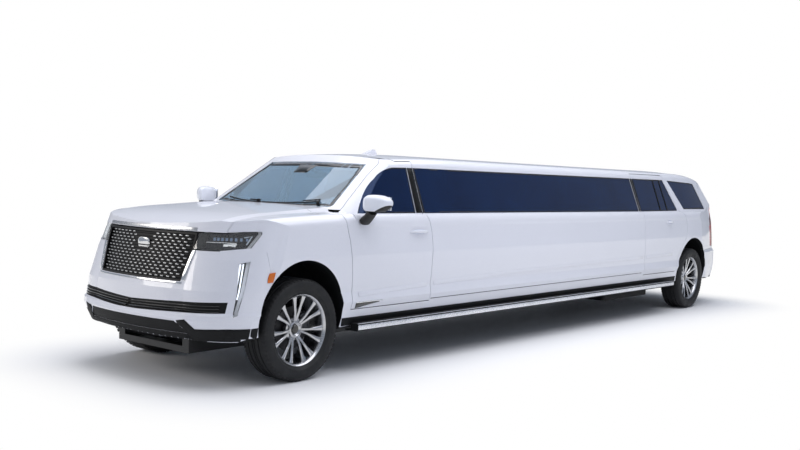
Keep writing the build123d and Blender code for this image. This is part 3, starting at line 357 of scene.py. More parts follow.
castIron = finish("cast iron, machined", ("#3a3a3c", "#57575a"), 0.9, 0.5, 3, 0.3)
castAlloy = finish("cast engine alloy", ("#6b6c6e", "#86878a"), 0.8, 0.5, 3, 0.3)
steelTube = finish("stainless steel tube", ("#7d7a76", "#9b9893"), 1, 0.36, 5, 0.05)

finishes = {
    "body_paint": paint, "black_plastic": blackTrim, "grille_black": meshBlack, "board_trim": blackTrim,
    "clear_glass": windscreenGlass, "privacy_glass": privacyGlass, "lamp_cover": lampCover,
    "lamp_body": lampBody, "tail_lamp_cover": tailCover, "tyre_rubber": tyre, "polished_alloy": alloy,
    "chassis_paint": chassisPaint, "underbody_paint": underPaint, "cast_metal": castIron,
    "engine_metal": castAlloy, "exhaust_steel": steelTube, "dash_plastic": dashPlastic,
    "seat_leather": leather, "cabin_wood": veneer,
}
print("materials")

# wheel centres in metres: along, out from the middle and up
hubs = {"front": 3.990, "rear": -3.650, "out": 0.870, "up": 0.417}
# where panels take another finish, or go black as painted shade in the arches and shut gaps: facing is how
# squarely a face must look that way
lining = {"middleZ": 1.15, "lowestZ": 0.44, "facing": 0.35}
arch = {"z": 0.515, "reach": 0.485, "edgeZ": 0.398, "facing": 0.6}
postGaps = {"places": ((-2.112, -2.070), (2.374, 2.412)), "z": (1.350, 1.775), "facing": 0.85}


def dressNodes():
    for entry in frame["record"]["subparts"]:
        mesh = nodes[entry["node"]].data
        mesh.materials.clear()
        mesh.materials.append(finishes[entry["material_slot"]])
    for word, side in sides:
        nodes[word + "_door_mirror"].data.materials[0] = mirrorFinish
    nodes["cowl_panel"].data.materials[0] = paint


def dressFaces(names, material, chosen):
    for name in names:
        mesh = nodes[name].data
        mesh.materials.append(material)
        for face in mesh.polygons:
            if chosen(face.center, face.normal):
                face.material_index = len(mesh.materials) - 1


def facesCabin(centre, normal):
    inward = Vector((0, -centre.y, lining["middleZ"] - centre.z)).normalized()
    return centre.z > lining["lowestZ"] and normal.dot(inward) > lining["facing"]


def facesForward(centre, normal):
    return centre.z > lining["lowestZ"] and normal.x > lining["facing"]


def inArch(centre, normal):
    # the wall's cut faces in the wheel arches, and its lower edge, which go black: partly the black arch
    # liner, partly painted shade over the wall's thickness
    for end in ("front", "rear"):
        toHub = Vector((hubs[end] - centre.x, 0, arch["z"] - centre.z))
        if toHub.length < arch["reach"] and normal.dot(toHub.normalized()) > arch["facing"]:
            return True
    return centre.z < arch["edgeZ"]


def inPostGap(centre, normal):
    # edges of doors and posts between the panes, blackened as painted shade so they don't shine out of the
    # shut gaps
    low, high = postGaps["z"]
    near = any(rear < centre.x < front for rear, front in postGaps["places"])
    return near and low < centre.z < high and abs(normal.x) > postGaps["facing"]


dressNodes()
dressFaces(("roof_panel",), headlining, facesCabin)
dressFaces(("floor_pan",), carpet, facesCabin)
dressFaces(["side_panels", "rear_quarters"] + doors, cabinTrim, facesCabin)
dressFaces(("tailgate",), cabinTrim, facesForward)
# arch faces and lower edges in black trim: partly the real liner, partly painted shade
dressFaces(("side_panels", "front_wings", "rear_quarters", "front_bumper", "rear_bumper"), blackTrim, inArch)
# painted shade: door and post edges in the shut gaps between the panes take the black film
dressFaces(doors + ["side_panels", "roof_panel"], pillarFilm, inPostGap)
print("frame dressed")


def linkPiece(name, bm, materials, body):
    mesh = bpy.data.meshes.new(name)
    bm.to_mesh(mesh)
    bm.free()
    for material in materials:
        mesh.materials.append(material)
    mesh.shade_smooth()
    piece = bpy.data.objects.new(name, mesh)
    scene.collection.objects.link(piece)
    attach(piece, body)
    return piece


def newPiece(name, bm, material, body="root", sharp=30, subdivide=0):
    # sharp is the angle in degrees past which an edge stays crisp
    bmesh.ops.recalc_face_normals(bm, faces=bm.faces)
    piece = linkPiece(name, bm, [material], body)
    piece.data.set_sharp_from_angle(angle=math.radians(sharp))
    if subdivide:
        soft = piece.modifiers.new("soft", "SUBSURF")
        soft.levels = soft.render_levels = subdivide
    return piece


def addWall(piece, wallMm, offset=1):
    wall = piece.modifiers.new("wall", "SOLIDIFY")
    wall.thickness = wallMm * mm
    wall.offset = offset


def addRing(bm, centre, across, upward, segments, square):
    # square 1 gives an ellipse, and less makes its corners fuller
    made = bmesh.ops.create_circle(bm, segments=segments, radius=1.0)["verts"]
    for index, vert in enumerate(made):
        angle = math.tau * (index + 0.5) / segments
        c, s = math.cos(angle), math.sin(angle)
        c, s = math.copysign(abs(c) ** square, c), math.copysign(abs(s) ** square, s)
        vert.co = Vector(centre) + Vector(across) * c + Vector(upward) * s
    return made


def addLoft(bm, stations, segments, square):
    # closed form through rings of (centre, half width vector, half height vector)
    rings = [set(addRing(bm, *station, segments, square)) for station in stations]
    loops = [[e for e in bm.edges if e.verts[0] in ring and e.verts[1] in ring] for ring in rings]
    for first, second in zip(loops, loops[1:]):
        bmesh.ops.bridge_loops(bm, edges=first + second)
    for loop in (loops[0], loops[-1]):
        bmesh.ops.contextual_create(bm, geom=loop)


def addBlock(bm, centre, size, turned=Matrix.Identity(3), bevelMm=1):
    made = bmesh.ops.create_cube(bm, size=1.0)["verts"]
    shape = Matrix.Translation(Vector(centre)) @ turned.to_4x4() @ Matrix.Diagonal(Vector(size)).to_4x4()
    bmesh.ops.transform(bm, matrix=shape, verts=made)
    edges = list({e for v in made for e in v.link_edges})
    bmesh.ops.bevel(bm, geom=edges, offset=bevelMm * mm, segments=2, profile=0.5, affect="EDGES", material=-1)


def addSpin(bm, points, centre, axis, steps, closed=True):
    # points are (along the axis, radius) in millimetres; the profile is spun round a line through centre
    axis = Vector(axis)
    side = Vector((0, 0, 1)) if abs(axis.z) < 0.9 else Vector((1, 0, 0))
    side = (side - axis * side.dot(axis)).normalized()
    verts = [bm.verts.new(Vector(centre) + axis * along * mm + side * radius * mm)
             for along, radius in points]
    pairs = list(zip(verts, verts[1:])) + ([(verts[-1], verts[0])] if closed else [])
    edges = [bm.edges.new(pair) for pair in pairs]
    bmesh.ops.spin(bm, geom=verts + edges, cent=centre, axis=axis, angle=math.tau, steps=steps,
                   use_merge=True)
    bmesh.ops.remove_doubles(bm, verts=bm.verts, dist=0.00002)


def spunPiece(name, points, spots, axis, steps, material, body="root", sharp=30, closed=False):
    bm = bmesh.new()
    for spot in spots:
        addSpin(bm, points, spot, axis, steps, closed)
    return newPiece(name, bm, material, body, sharp)


def blockPiece(name, blocks, material, body="root", bevelMm=1):
    # blocks are (centre, size) in metres, and a third value is their turn
    bm = bmesh.new()
    for centre, size, *turned in blocks:
        addBlock(bm, centre, size, *turned, bevelMm=bevelMm)
    return newPiece(name, bm, material, body)


def mirrored(piece, body="root"):
    # right-hand twin of a left-hand piece
    bm = bmesh.new()
    bm.from_mesh(piece.data)
    bmesh.ops.scale(bm, vec=(1, -1, 1), verts=bm.verts)
    twin = newPiece(piece.name.replace("left", "right", 1), bm, piece.data.materials[0], body, sharp=35)
    kept = {"SOLIDIFY": ("thickness", "offset"),
            "BEVEL": ("width", "segments", "limit_method", "angle_limit")}
    for old in piece.modifiers:
        new = twin.modifiers.new(old.name, old.type)
        for key in kept[old.type]:
            setattr(new, key, getattr(old, key))


def surfaceOf(*names):
    verts, faces = [], []
    for name in names:
        mesh = nodes[name].data
        start = len(verts)
        verts += [v.co.copy() for v in mesh.vertices]
        faces += [[start + i for i in polygon.vertices] for polygon in mesh.polygons]
    return BVHTree.FromPolygons(verts, faces)


aims = {"x": Vector((-1, 0, 0)), "-x": Vector((1, 0, 0)), "y": Vector((0, -1, 0)), "z": Vector((0, 0, -1))}


def castOn(surface, axis, first, second):
    # x sees y, z from ahead and -x from behind; y sees x, z from the left; z sees x, y from above
    first, second = first * mm, second * mm
    start = {"x": (8, first, second), "-x": (-8, first, second), "y": (first, 4, second),
             "z": (first, second, 4)}[axis]
    start, aim = Vector(start), aims[axis]
    place, normal, _, _ = surface.ray_cast(start, aim)
    if place is None:
        place, normal, _, _ = surface.find_nearest(start + aim * 3.2)
    if normal.dot(aim) > 0:
        normal = -normal
    return place, normal


def layPatch(name, surface, axis, rows, material, body="root", liftMm=0.5, wallMm=3, bevelMm=0, closed=False):
    # a thin piece that follows a surface; rows are equal lists of points in the view plane, in millimetres
    bm = bmesh.new()
    across = len(rows[0])
    bmesh.ops.create_grid(bm, x_segments=across - 1, y_segments=len(rows) - 1, size=1.0)
    bm.verts.ensure_lookup_table()
    for r, row in enumerate(rows):
        for c, (first, second) in enumerate(row):
            place, normal = castOn(surface, axis, first, second)
            bm.verts[r * across + c].co = place + normal * liftMm * mm
    if closed:
        bmesh.ops.remove_doubles(bm, verts=bm.verts, dist=0.00005)
    bmesh.ops.recalc_face_normals(bm, faces=bm.faces)
    bm.normal_update()
    widest = max(bm.faces, key=lambda face: face.calc_area())
    if widest.normal.dot(aims[axis]) > 0:
        bmesh.ops.reverse_faces(bm, faces=bm.faces)
    piece = linkPiece(name, bm, [material], body)
    addWall(piece, wallMm)
    if bevelMm:
        edge = piece.modifiers.new("edge", "BEVEL")
        edge.width = bevelMm * mm
        edge.segments = 2
        edge.limit_method = "ANGLE"
        edge.angle_limit = math.radians(50)
    return piece


def dense(path, stepMm, closed):
    # points along a path every stepMm, corners kept
    points = list(path) + ([path[0]] if closed else [])
    out = []
    for (x0, y0), (x1, y1) in zip(points, points[1:]):
        count = max(1, round(math.hypot(x1 - x0, y1 - y0) / stepMm))
        out += [(x0 + (x1 - x0) * k / count, y0 + (y1 - y0) * k / count) for k in range(count)]
    return out + [points[-1]]


def besideLine(points, shiftMm, closed):
    # the same path moved sideways in its plane by shiftMm, to the left of its direction
    out = []
    count = len(points)
    for index, (x, y) in enumerate(points):
        before = points[index - 1] if index or closed else points[index]
        after = points[(index + 1) % count] if index < count - 1 or closed else points[index]
        if closed and index in (0, count - 1):
            before, after = points[-2], points[1]
        dx, dy = after[0] - before[0], after[1] - before[1]
        size = math.hypot(dx, dy) or 1.0
        out.append((x - dy / size * shiftMm, y + dx / size * shiftMm))
    return out


def layStrip(name, surface, axis, path, widthMm, material, closed=False, stepMm=60, **rest):
    points = dense(path, stepMm, closed)
    rows = [besideLine(points, side * widthMm / 2, closed) for side in (1, 0, -1)]
    return layPatch(name, surface, axis, rows, material, closed=closed, **rest)


def seatBlocks(name, surface, axis, places, sizeMm, material, bevelMm=1):
    # small bevelled blocks (along, up, out) seated 1 mm into a surface
    bm = bmesh.new()
    along, tall, deep = sizeMm
    for first, second in places:
        place, normal = castOn(surface, axis, first, second)
        side = Vector((0, 0, 1)).cross(normal).normalized()
        turned = Matrix((side, normal.cross(side), normal)).transposed()
        middle = place + normal * (deep / 2 - 1) * mm
        addBlock(bm, middle, (along * mm, tall * mm, deep * mm), turned, bevelMm)
    return newPiece(name, bm, material)


def gridOf(acrossAll, downAll):
    return [[(across, down) for across in acrossAll] for down in downAll]


def onSide(path, side):
    return [(side * y, z) for y, z in path]


def tableAt(table, value):
    for (low, first), (high, second) in zip(table, table[1:]):
        if value <= high:
            return first + (second - first) * (value - low) / (high - low)
    return table[-1][1]


def aroundHub(turn):
    # out from the hub and forward along the rim, at an angle from the top
    return Vector((math.sin(turn), 0, math.cos(turn))), Vector((math.cos(turn), 0, -math.sin(turn)))


# profiles are (along the axis outwards, radius) in millimetres
wheel = {
    "rim": ((-112, 291), (-96, 291), (-88, 272), (40, 266), (84, 272), (104, 280), (112, 291),
            (108, 291.4), (96, 286), (80, 278), (40, 271), (-84, 277), (-92, 291.4)),
    "spokePairs": 7,
    # radius, lean, half width, face and half depth along a spoke
    "spokeStations": ((52, 7.0, 15, 44, 22), (92, 7.2, 13, 58, 19), (140, 8.2, 12, 70, 16),
                      (200, 9.6, 14, 80, 14), (246, 10.4, 18, 88, 13), (272, 10.8, 24, 92, 12)),
    "centre": ((20, 34), (20, 66), (36, 74), (52, 68), (58, 56), (50, 46), (44, 34)),
    "flange": ((10, 60), (10, 96), (34, 92), (40, 60)),
    "cap": ((18, 0.5), (18, 36), (50, 36), (55, 30), (57, 0.5)),
    "nuts": 6,
    "nutCircle": 54,
    "nut": ((30, 0.5), (30, 9), (50, 9), (56, 6), (57, 0.5)),
    "disc": ((-30, 74), (-30, 178), (-22, 180), (-18, 180), (-8, 178), (-8, 92), (10, 88), (10, 64),
             (-24, 64)),
}
# half of the tyre from its bead to its middle groove; the lugs are (along, across, deep) in metres
road = {
    "half": ((108, 292.5), (133, 322), (137, 350), (136, 372), (128, 396), (117, 408), (98, 415),
             (66, 416.6), (64, 408), (54, 408), (52, 416.8), (18, 417), (16, 408), (6, 408), (4, 417)),
    "pitches": 66,
    "lug": (0.026, 0.030, 0.014),
    "lugRadius": 404.5,
    "lugOut": 112,
    "lugTilt": 0.42,
}


def makeWheel(corner, centre, out):
    body = corner + "_wheel"
    bm = bmesh.new()
    addSpin(bm, wheel["rim"], centre, out, 96)
    for pair in range(wheel["spokePairs"]):
        for lean in (-1, 1):
            stations = []
            for radius, angle, half, face, depth in wheel["spokeStations"]:
                ray, along = aroundHub(math.radians(360 * pair / wheel["spokePairs"] + lean * angle))
                middle = centre + ray * radius * mm + out * (face - depth) * mm
                stations.append((middle, along * half * mm, out * depth * mm))
            addLoft(bm, stations, 8, 0.55)
    addSpin(bm, wheel["centre"], centre, out, 48)
    addSpin(bm, wheel["flange"], centre, out, 48)
    rim = newPiece(corner + "_alloy_wheel", bm, alloy, body, 40)
    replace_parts(rim, corner + "_wheel")
    spunPiece(corner + "_centre_cap", wheel["cap"], [centre], out, 40, glossBlack, body)
    turns = [math.tau * nut / wheel["nuts"] for nut in range(wheel["nuts"])]
    spots = [centre + aroundHub(turn)[0] * wheel["nutCircle"] * mm for turn in turns]
    spunPiece(corner + "_wheel_nuts", wheel["nut"], spots, out, 6, satinChrome, body)
    spunPiece(corner + "_brake_disc", wheel["disc"], [centre], out, 72, castIron, body,
              closed=True)


def makeTyre(corner, centre, out):
    bm = bmesh.new()
    inner = [(-along, radius) for along, radius in road["half"]]
    addSpin(bm, inner + list(reversed(road["half"])), centre, out, 132)
    for pitch in range(road["pitches"]):
        for row in (-1, 1):
            ray, along = aroundHub(math.tau * (pitch + 0.25 * row) / road["pitches"])
            turned = Matrix((along, out, ray)).transposed()
            tilt = Matrix.Rotation(row * out.y * road["lugTilt"], 3, ray.cross(out))
            spot = centre + ray * road["lugRadius"] * mm + out * row * road["lugOut"] * mm
            addBlock(bm, spot, road["lug"], tilt @ turned, 1.5)
    rubber = newPiece(corner + "_road_tyre", bm, tyre, corner + "_wheel")
    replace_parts(rubber, corner + "_tyre")


for end in ("front", "rear"):
    for word, side in sides:
        centre = Vector((hubs[end], side * hubs["out"], hubs["up"]))
        makeWheel(end + "_" + word, centre, Vector((0, side, 0)))
        makeTyre(end + "_" + word, centre, Vector((0, side, 0)))
print("wheels")

# dashes are (along, up, out); half widths are (height, half width), all in millimetres
grille = {
    "dashRows": 14,
    "dashZ": (846, 1165),
    "dashPitch": 62,
    "dash": (31, 8, 6),
    "halfWidth": ((818, 516), (960, 540), (1070, 560), (1193, 560)),
    "edge": 34,
    "clearAbove": (1020, 96),  # above this height, this half width stays free round the boss
    "boss": (0, 1080, 150, 92),
    "sideLine": ((537, 828), (558, 958), (579, 1060)),
    "lowLine": ((-530, 806), (530, 806)),
}
grilleFace = surfaceOf("radiator_grille")
noseFace = surfaceOf("front_bumper", "front_wings", "bonnet")
lampFace = surfaceOf("front_lamps")


def makeDashes():
    places = []
    low, high = grille["dashZ"]
    freeZ, freeHalf = grille["clearAbove"]
    for row in range(grille["dashRows"]):
        height = low + (high - low) * row / (grille["dashRows"] - 1)
        reach = tableAt(grille["halfWidth"], height) - grille["edge"]
        count = int(reach // grille["dashPitch"])
        for step in range(-count - 1, count + 1):
            across = (step + 0.5 * (row % 2)) * grille["dashPitch"]
            if abs(across) < reach and (height < freeZ or abs(across) > freeHalf):
                places.append((across, height))
    seatBlocks("grille_dashes", grilleFace, "x", places, grille["dash"], satinChrome, 1.2)


def makeBoss():
    # a plain two-step boss with full corners
    bm = bmesh.new()
    y, z, wide, tall = grille["boss"]
    place, normal = castOn(grilleFace, "x", y, z)
    for grow, deep, start in ((1.0, 0.014, 0.0), (0.84, 0.004, 0.014)):
        rings = []
        for along, size in ((start, grow), (start + deep * 0.7, grow), (start + deep, grow * 0.93)):
            rings.append((place + normal * along, Vector((0, wide / 2 * mm * size, 0)),
                          Vector((0, 0, tall / 2 * mm * size))))
        addLoft(bm, rings, 32, 0.6)
    newPiece("emblem_boss", bm, chrome)


makeDashes()
for word, side in sides:
    path = onSide(grille["sideLine"], side)
    layStrip("grille_" + word + "_moulding", noseFace, "x", path, 34, chrome, wallMm=5, bevelMm=1.5)
layStrip("grille_lower_moulding", noseFace, "x", grille["lowLine"], 15, chrome, wallMm=4, bevelMm=1.2)
makeBoss()

bumper = {
    "slatZ": (606, 628, 650),
    "slat": ((20, 300, 600, 860), -18, 0.025),  # y along a slat, its drop at the middle and its rise per y
    "valance": (range(-648, 649, 72), (427, 408, 386)),  # across and down
    "cornerTop": ((560, 530), (600, 538), (645, 545), (702, 472), (760, 474), (820, 477), (880, 479),
                  (920, 480)),
    "cornerLow": ((560, 507), (600, 471), (645, 380), (920, 380)),
    "arch": ((4700, 4650, 4600, 4550, 4500, 4462), (479, 450, 420, 400, 381)),  # along and down
    "marker": (((4378, 898), (4350, 902), (4324, 904)), ((4394, 860), (4364, 862), (4335, 866)),
               ((4398, 824), (4374, 825), (4350, 826))),
}
intakeFace = surfaceOf("lower_grilles")
acrossY, drop, rise = bumper["slat"]
for height in bumper["slatZ"]:
    for word, side in sides:
        path = [(side * y, height + drop + y * rise) for y in acrossY]
        layStrip("intake_slat_%d_%s" % (height, word), intakeFace, "x", path, 7, glossBlack, wallMm=9,
                 bevelMm=1)
layPatch("lower_valance", noseFace, "x", gridOf(*bumper["valance"]), blackTrim)
# black lower edge of the bumper corners, from the lower intake round to the wheel arch
rows = [[(y, z + (tableAt(bumper["cornerLow"], y) - z) * share) for y, z in bumper["cornerTop"]]
        for share in (0, 0.25, 0.5, 0.75, 1)]
mirrored(layPatch("left_corner_valance", noseFace, "x", rows, blackTrim, liftMm=0.4))
mirrored(layPatch("left_arch_valance", noseFace, "y", gridOf(*bumper["arch"]), blackTrim, liftMm=0.4))
layStrip("bonnet_edge_moulding", surfaceOf("bonnet"), "x", ((-556, 1219), (556, 1219)), 26, satinChrome,
         body="bonnet", liftMm=0.4, bevelMm=1)

# lamps: led squares, light guides and chrome trims on the housings, twin bars in the upright lamps
lamp = {
    "bezel": ((568, 585, 602, 620, 636), (1186, 1150, 1110, 1076)),  # across and down
    "leds": (690, 716, 742, 768, 794, 820, 846, 872),
    "ledZ": 1149,
    "led": (19, 24, 8),
    "shelf": ((620, 1122), (760, 1122), (900, 1119.2)),
    "trim": ((760, 1104), (830, 1104), (905, 1104)),
    # name, path as (x, z), width, material and depth
    "guides": (
        ("lamp_hook", ((4508, 1166), (4456, 1176), (4504, 1112)), 9, lampEdge, 6),
        ("running_light_outer", ((4566, 966), (4668, 600)), 12, ledLens, 8),
        ("running_light_inner", ((4548, 968), (4616, 700)), 9, ledLens, 8),
    ),
}
for word, side in sides:
    rows = [onSide(row, side) for row in gridOf(*lamp["bezel"])]
    layPatch(word + "_headlamp_bezel", lampFace, "x", rows, blackTrim, wallMm=16, bevelMm=1)
    places = [(side * y, lamp["ledZ"]) for y in lamp["leds"]]
    seatBlocks(word + "_headlamp_leds", lampFace, "x", places, lamp["led"], lampLens)
    path = onSide(lamp["shelf"], side)
    layStrip(word + "_headlamp_shelf", lampFace, "x", path, 5, satinChrome, wallMm=12, bevelMm=1)
    path = onSide(lamp["trim"], side)
    layStrip(word + "_headlamp_trim", lampFace, "x", path, 18, chrome, wallMm=6, bevelMm=1)
for name, path, wide, material, deep in lamp["guides"]:
    mirrored(layStrip("left_" + name, lampFace, "y", path, wide, material, wallMm=deep))
mirrored(layPatch("left_front_marker", noseFace, "y", bumper["marker"], amber, wallMm=6, bevelMm=1.5))
print("nose")

# pane outlines as (x, z); a seal is 15 mm wide and lies flush
seals = {
    "front_door_glass": ((3262, 1357), (3160, 1505), (3070, 1590), (2970, 1657), (2830, 1732), (2680, 1760),
                         (2486, 1762), (2512, 1357)),
    "rear_door_glass": ((-2136, 1762), (-2136, 1357), (-3200, 1363), (-3215, 1372), (-3020, 1760)),
    "long_window": ((2373, 1761), (2373, 1359), (-2048, 1359), (-2040, 1761)),
    "quarter": ((-3166, 1757), (-3900, 1737), (-4042, 1723), (-4206, 1394), (-3444, 1386)),
}
flush = {"liftMm": 0.2, "wallMm": 1.4, "closed": True}
for end in ("front", "rear"):
    door, pane = end + "_door", end + "_door_glass"
    seal = layStrip("left_" + pane + "_seal", surfaceOf("left_" + pane), "y", seals[pane], 15, rubberSeal,
                    body="left_" + door, stepMm=90, **flush)
    mirrored(seal, "right_" + door)
for name, stepMm in (("long_window", 300), ("quarter", 120)):
    mirrored(layStrip("left_" + name + "_seal", surfaceOf("side_glass"), "y", seals[name], 15, rubberSeal,
                      stepMm=stepMm, **flush))

# satin black panels between the panes: front and rear edge at the top, then below
pillars = {
    "front_door": ((2475, 2405), (2501, 2415)),
    "belt_post": ((2392, 2382), (2402, 2382)),
    "rear_door": ((-2090, -2127), (-2103, -2127)),
    "fixed_post": ((-2048, -2077), (-2058, -2090)),
}
paneZ = (1766, 1354)
for name, ((topFront, topRear), (lowFront, lowRear)) in pillars.items():
    rows = []
    for step in range(9):
        share = step / 8
        z = paneZ[0] + (paneZ[1] - paneZ[0]) * share
        front, rear = topFront + (lowFront - topFront) * share, topRear + (lowRear - topRear) * share
        rows.append([(front, z), ((front + rear) / 2, z), (rear, z)])
    onDoor = name.endswith("door")
    under = surfaceOf("left_" + name) if onDoor else surfaceOf("roof_panel", "side_panels")
    panel = layPatch("left_" + name + "_pillar_panel", under, "y", rows, pillarFilm,
                     body="left_" + name if onDoor else "root", liftMm=0.3, wallMm=1.6)
    mirrored(panel, "right_" + name if onDoor else "root")

# division bars in the rear door glass
bars = {
    "rear_division_bar": ((-2712, 1762), (-2700, 1358)),
    "rear_division_bar_rear": ((-2900, 1762), (-2912, 1360)),
}
for name, path in bars.items():
    bar = layStrip("left_" + name, surfaceOf("left_rear_door_glass"), "y", path, 34, pillarFilm,
                   body="left_rear_door", liftMm=0.2, wallMm=2.5, stepMm=80)
    mirrored(bar, "right_rear_door")

# windscreen: printed black border and sensor shade, inside mirror, wipers
screen = {
    "edge": ((-715, 1412), (-690, 1505), (-668, 1590), (-632, 1680), (-592, 1762), (0, 1772),
             (592, 1762), (632, 1680), (668, 1590), (690, 1505), (715, 1412), (400, 1397), (0, 1400),
             (-400, 1397)),
    "shade": ((1765, 1), (1725, 0.75), (1690, 0.75)),  # height and share of the full width
    "shadeY": (-120, -60, 0, 60, 120),
    "mirrorStem": ((2945, 1742, 40, 4), (2930, 1735, 44, 12), (2905, 1716, 40, 14), (2890, 1700, 22, 8)),
    "mirror": ((2850, 128, 34), (2856, 132, 37), (2872, 132, 37), (2890, 110, 26), (2896, 60, 14)),
    "mirrorZ": 1672,
}
wipers = {
    "driver": ((590, 440, 290, 140, -10), (3450, 610)),  # y along the blade, then the pivot's x, y
    "passenger": ((-30, -180, -330, -480, -600), (3570, -20)),
}
wiperHub = ((-16, 0.5), (-16, 15), (10, 15), (14, 9), (15, 0.5))
screenFace = surfaceOf("windscreen")
layStrip("windscreen_border", screenFace, "x", screen["edge"], 34, glossBlack, closed=True, stepMm=70,
         liftMm=0.2, wallMm=0.6)
rows = [[(y * share, z) for y in screen["shadeY"]] for z, share in screen["shade"]]
layPatch("windscreen_sensor_shade", screenFace, "x", rows, glossBlack, liftMm=0.2, wallMm=0.6)
bm = bmesh.new()
addLoft(bm, [((x * mm, 0, z * mm), (0, wide * mm, 0), (deep * mm, 0, deep * mm))
             for x, z, wide, deep in screen["mirrorStem"]], 12, 0.7)
addLoft(bm, [((x * mm, 0, screen["mirrorZ"] * mm), (0, wide * mm, 0), (0, 0, tall * mm))
             for x, wide, tall in screen["mirror"]], 20, 0.5)
newPiece("inside_mirror", bm, blackTrim)


def makeWiper(name, sweep, pivot):
    blade = [(3529 - 198 * (y / 738) ** 2, y) for y in sweep]  # x follows the foot of the glass
    layStrip(name + "_wiper_blade", screenFace, "z", blade, 7, rubberSeal, liftMm=1, wallMm=6, stepMm=40)
    points = [castOn(surfaceOf("windscreen", "cowl_panel"), "z", *pivot)[0]]
    points += [castOn(screenFace, "z", *blade[index])[0] for index in (0, 1)]
    lift = Vector((0.006, 0, 0.02))
    stations = [(point + lift * rise, Vector((w, 0, -w * 0.3)), Vector((0, 0, 0.005)))
                for point, rise, w in zip(points, (1.3, 0.9, 0.9), (0.016, 0.009, 0.006))]
    bm = bmesh.new()
    addLoft(bm, stations, 8, 0.6)
    addSpin(bm, wiperHub, points[0] + lift, (0.15, 0, 0.98), 20, closed=False)
    newPiece(name + "_wiper_arm", bm, blackTrim)


for name, (sweep, pivot) in wipers.items():
    makeWiper(name, sweep, pivot)
print("windows")

# a door's handle: front x, rear x and height; grip: share of the length, stand-off and half width
handle = {
    "front_door": (2676, 2410, 1187),
    "rear_door": (-2770, -2930, 1213),
    "grip": ((0.0, -4, 7), (0.07, 12, 10), (0.2, 26, 13), (0.5, 33, 14), (0.8, 26, 13), (0.93, 12, 10),
             (1.0, -4, 7)),
    # cupZ, cupOver and cupRound shape a flat patch of darker paint, painted shade of the handle's recess
    "cupZ": (22, 8, -8, -24),
    "cupOver": 14,
    "cupRound": 2.2,
    "halfDepth": 8,
}


def makeHandles(door):
    front, rear, height = handle[door]
    under = surfaceOf("left_" + door)
    for word, side in sides:
        stations = []
        for share, out, half in handle["grip"]:
            place, normal = castOn(under, "y", front + (rear - front) * share, height)
            spot = place + normal * out * mm
            spot.y *= side
            stations.append((spot, (0, 0, half * mm), (0, side * handle["halfDepth"] * mm, 0)))
        bm = bmesh.new()
        addLoft(bm, stations, 12, 0.75)
        newPiece(word + "_" + door + "_handle", bm, paint, word + "_" + door, subdivide=1)
    # painted shade of the recess behind the grip, as a flat darker patch on the door
    over = handle["cupOver"]
    along = [front - over + (rear - front + 2 * over) * k / 12 for k in range(13)]
    middle, length = (front + rear) / 2, front - rear
    rows = [[(x, height + dz * (1 - abs(2 * (x - middle) / length) ** handle["cupRound"])) for x in along]
            for dz in handle["cupZ"]]
    cup = layPatch("left_" + door + "_handle_cup", under, "y", rows, cupShade, body="left_" + door,
                   liftMm=0.2, wallMm=0.8)
    mirrored(cup, "right_" + door)


makeHandles("front_door")
makeHandles("rear_door")

# gloss wedge low on the front door, with a bright line above it
wedge = {
    "x": range(3372, 3030, -38),
    "edges": ((549, 0.125), (596, -0.005)),  # height at the front and rise towards the rear
    "trim": ((3374, 599), (3030, 600)),
}
doorFace = surfaceOf("left_front_door")
rows = [[(x, start + (wedge["x"][0] - x) * rise) for x in wedge["x"]] for start, rise in wedge["edges"]]
mirrored(layPatch("left_door_wedge", doorFace, "y", rows, glossBlack, body="left_front_door", wallMm=4,
                  bevelMm=1), "right_front_door")
mirrored(layStrip("left_door_wedge_trim", doorFace, "y", wedge["trim"], 7, chrome, body="left_front_door",
                  wallMm=6, bevelMm=1), "right_front_door")

# line along the lower side, and a black sheet on the sill behind the running board, painted shade between the
# body and the board
sill = {
    "line": ((2318, 560), (400, 566), (-2080, 572)),
    "cover": (range(3515, -3160, -171), (473, 450, 426, 404)),  # along and down
}
mirrored(layStrip("left_sill_line", surfaceOf("side_panels"), "y", sill["line"], 6, rubberSeal, stepMm=160,
                  liftMm=0.1, wallMm=0.6))
# painted shade: the black sheet stands in for the shade over the sill above the board
mirrored(layPatch("left_sill_cover", surfaceOf("side_panels", "front_wings", "rear_quarters"), "y",
                  gridOf(*sill["cover"]), blackTrim, liftMm=0.3, wallMm=2))
creases = {
    "front_door": ((3340, 664), (2900, 682), (2388, 701)),
    "side_panel": ((2290, 704), (900, 738), (-946, 760), (-2080, 770)),
    "rear_door": ((-2180, 771), (-2600, 776), (-2960, 780)),
}
for name, path in creases.items():
    onDoor = name != "side_panel"
    under = surfaceOf("left_" + name if onDoor else "side_panels")
    crease = layStrip("left_" + name + "_crease", under, "y", path, 40, paint, stepMm=160,
                      body="left_" + name if onDoor else "root", wallMm=3.5, bevelMm=2.6)
    mirrored(crease, "right_" + name if onDoor else "root")

# running boards: bright edge round the outer corner, and rubber ribs on top, in metres
board = {
    "front": 3.409,
    "rear": -2.908,
    "strip": ((1.0866, 0.393, 0.003, 0.040), (1.0795, 0.4260, 0.012, 0.004)),  # out, up, width, height
    "ribs": (1.018, 1.030, 1.042, 1.054),
    "rib": (0.4262, 0.006, 0.004),  # up, width, height
    "ribsShorter": 0.1,
}
middle, length = (board["front"] + board["rear"]) / 2, board["front"] - board["rear"]
for word, side in sides:
    strip = [((middle, side * out, up), (length, wide, tall)) for out, up, wide, tall in board["strip"]]
    blockPiece(word + "_board_strip", strip, boardStrip)
    up, wide, tall = board["rib"]
    ribs = [((middle, side * out, up), (length - board["ribsShorter"], wide, tall)) for out in board["ribs"]]
    blockPiece(word + "_board_ribs", ribs, rubberSeal)
print("body sides")

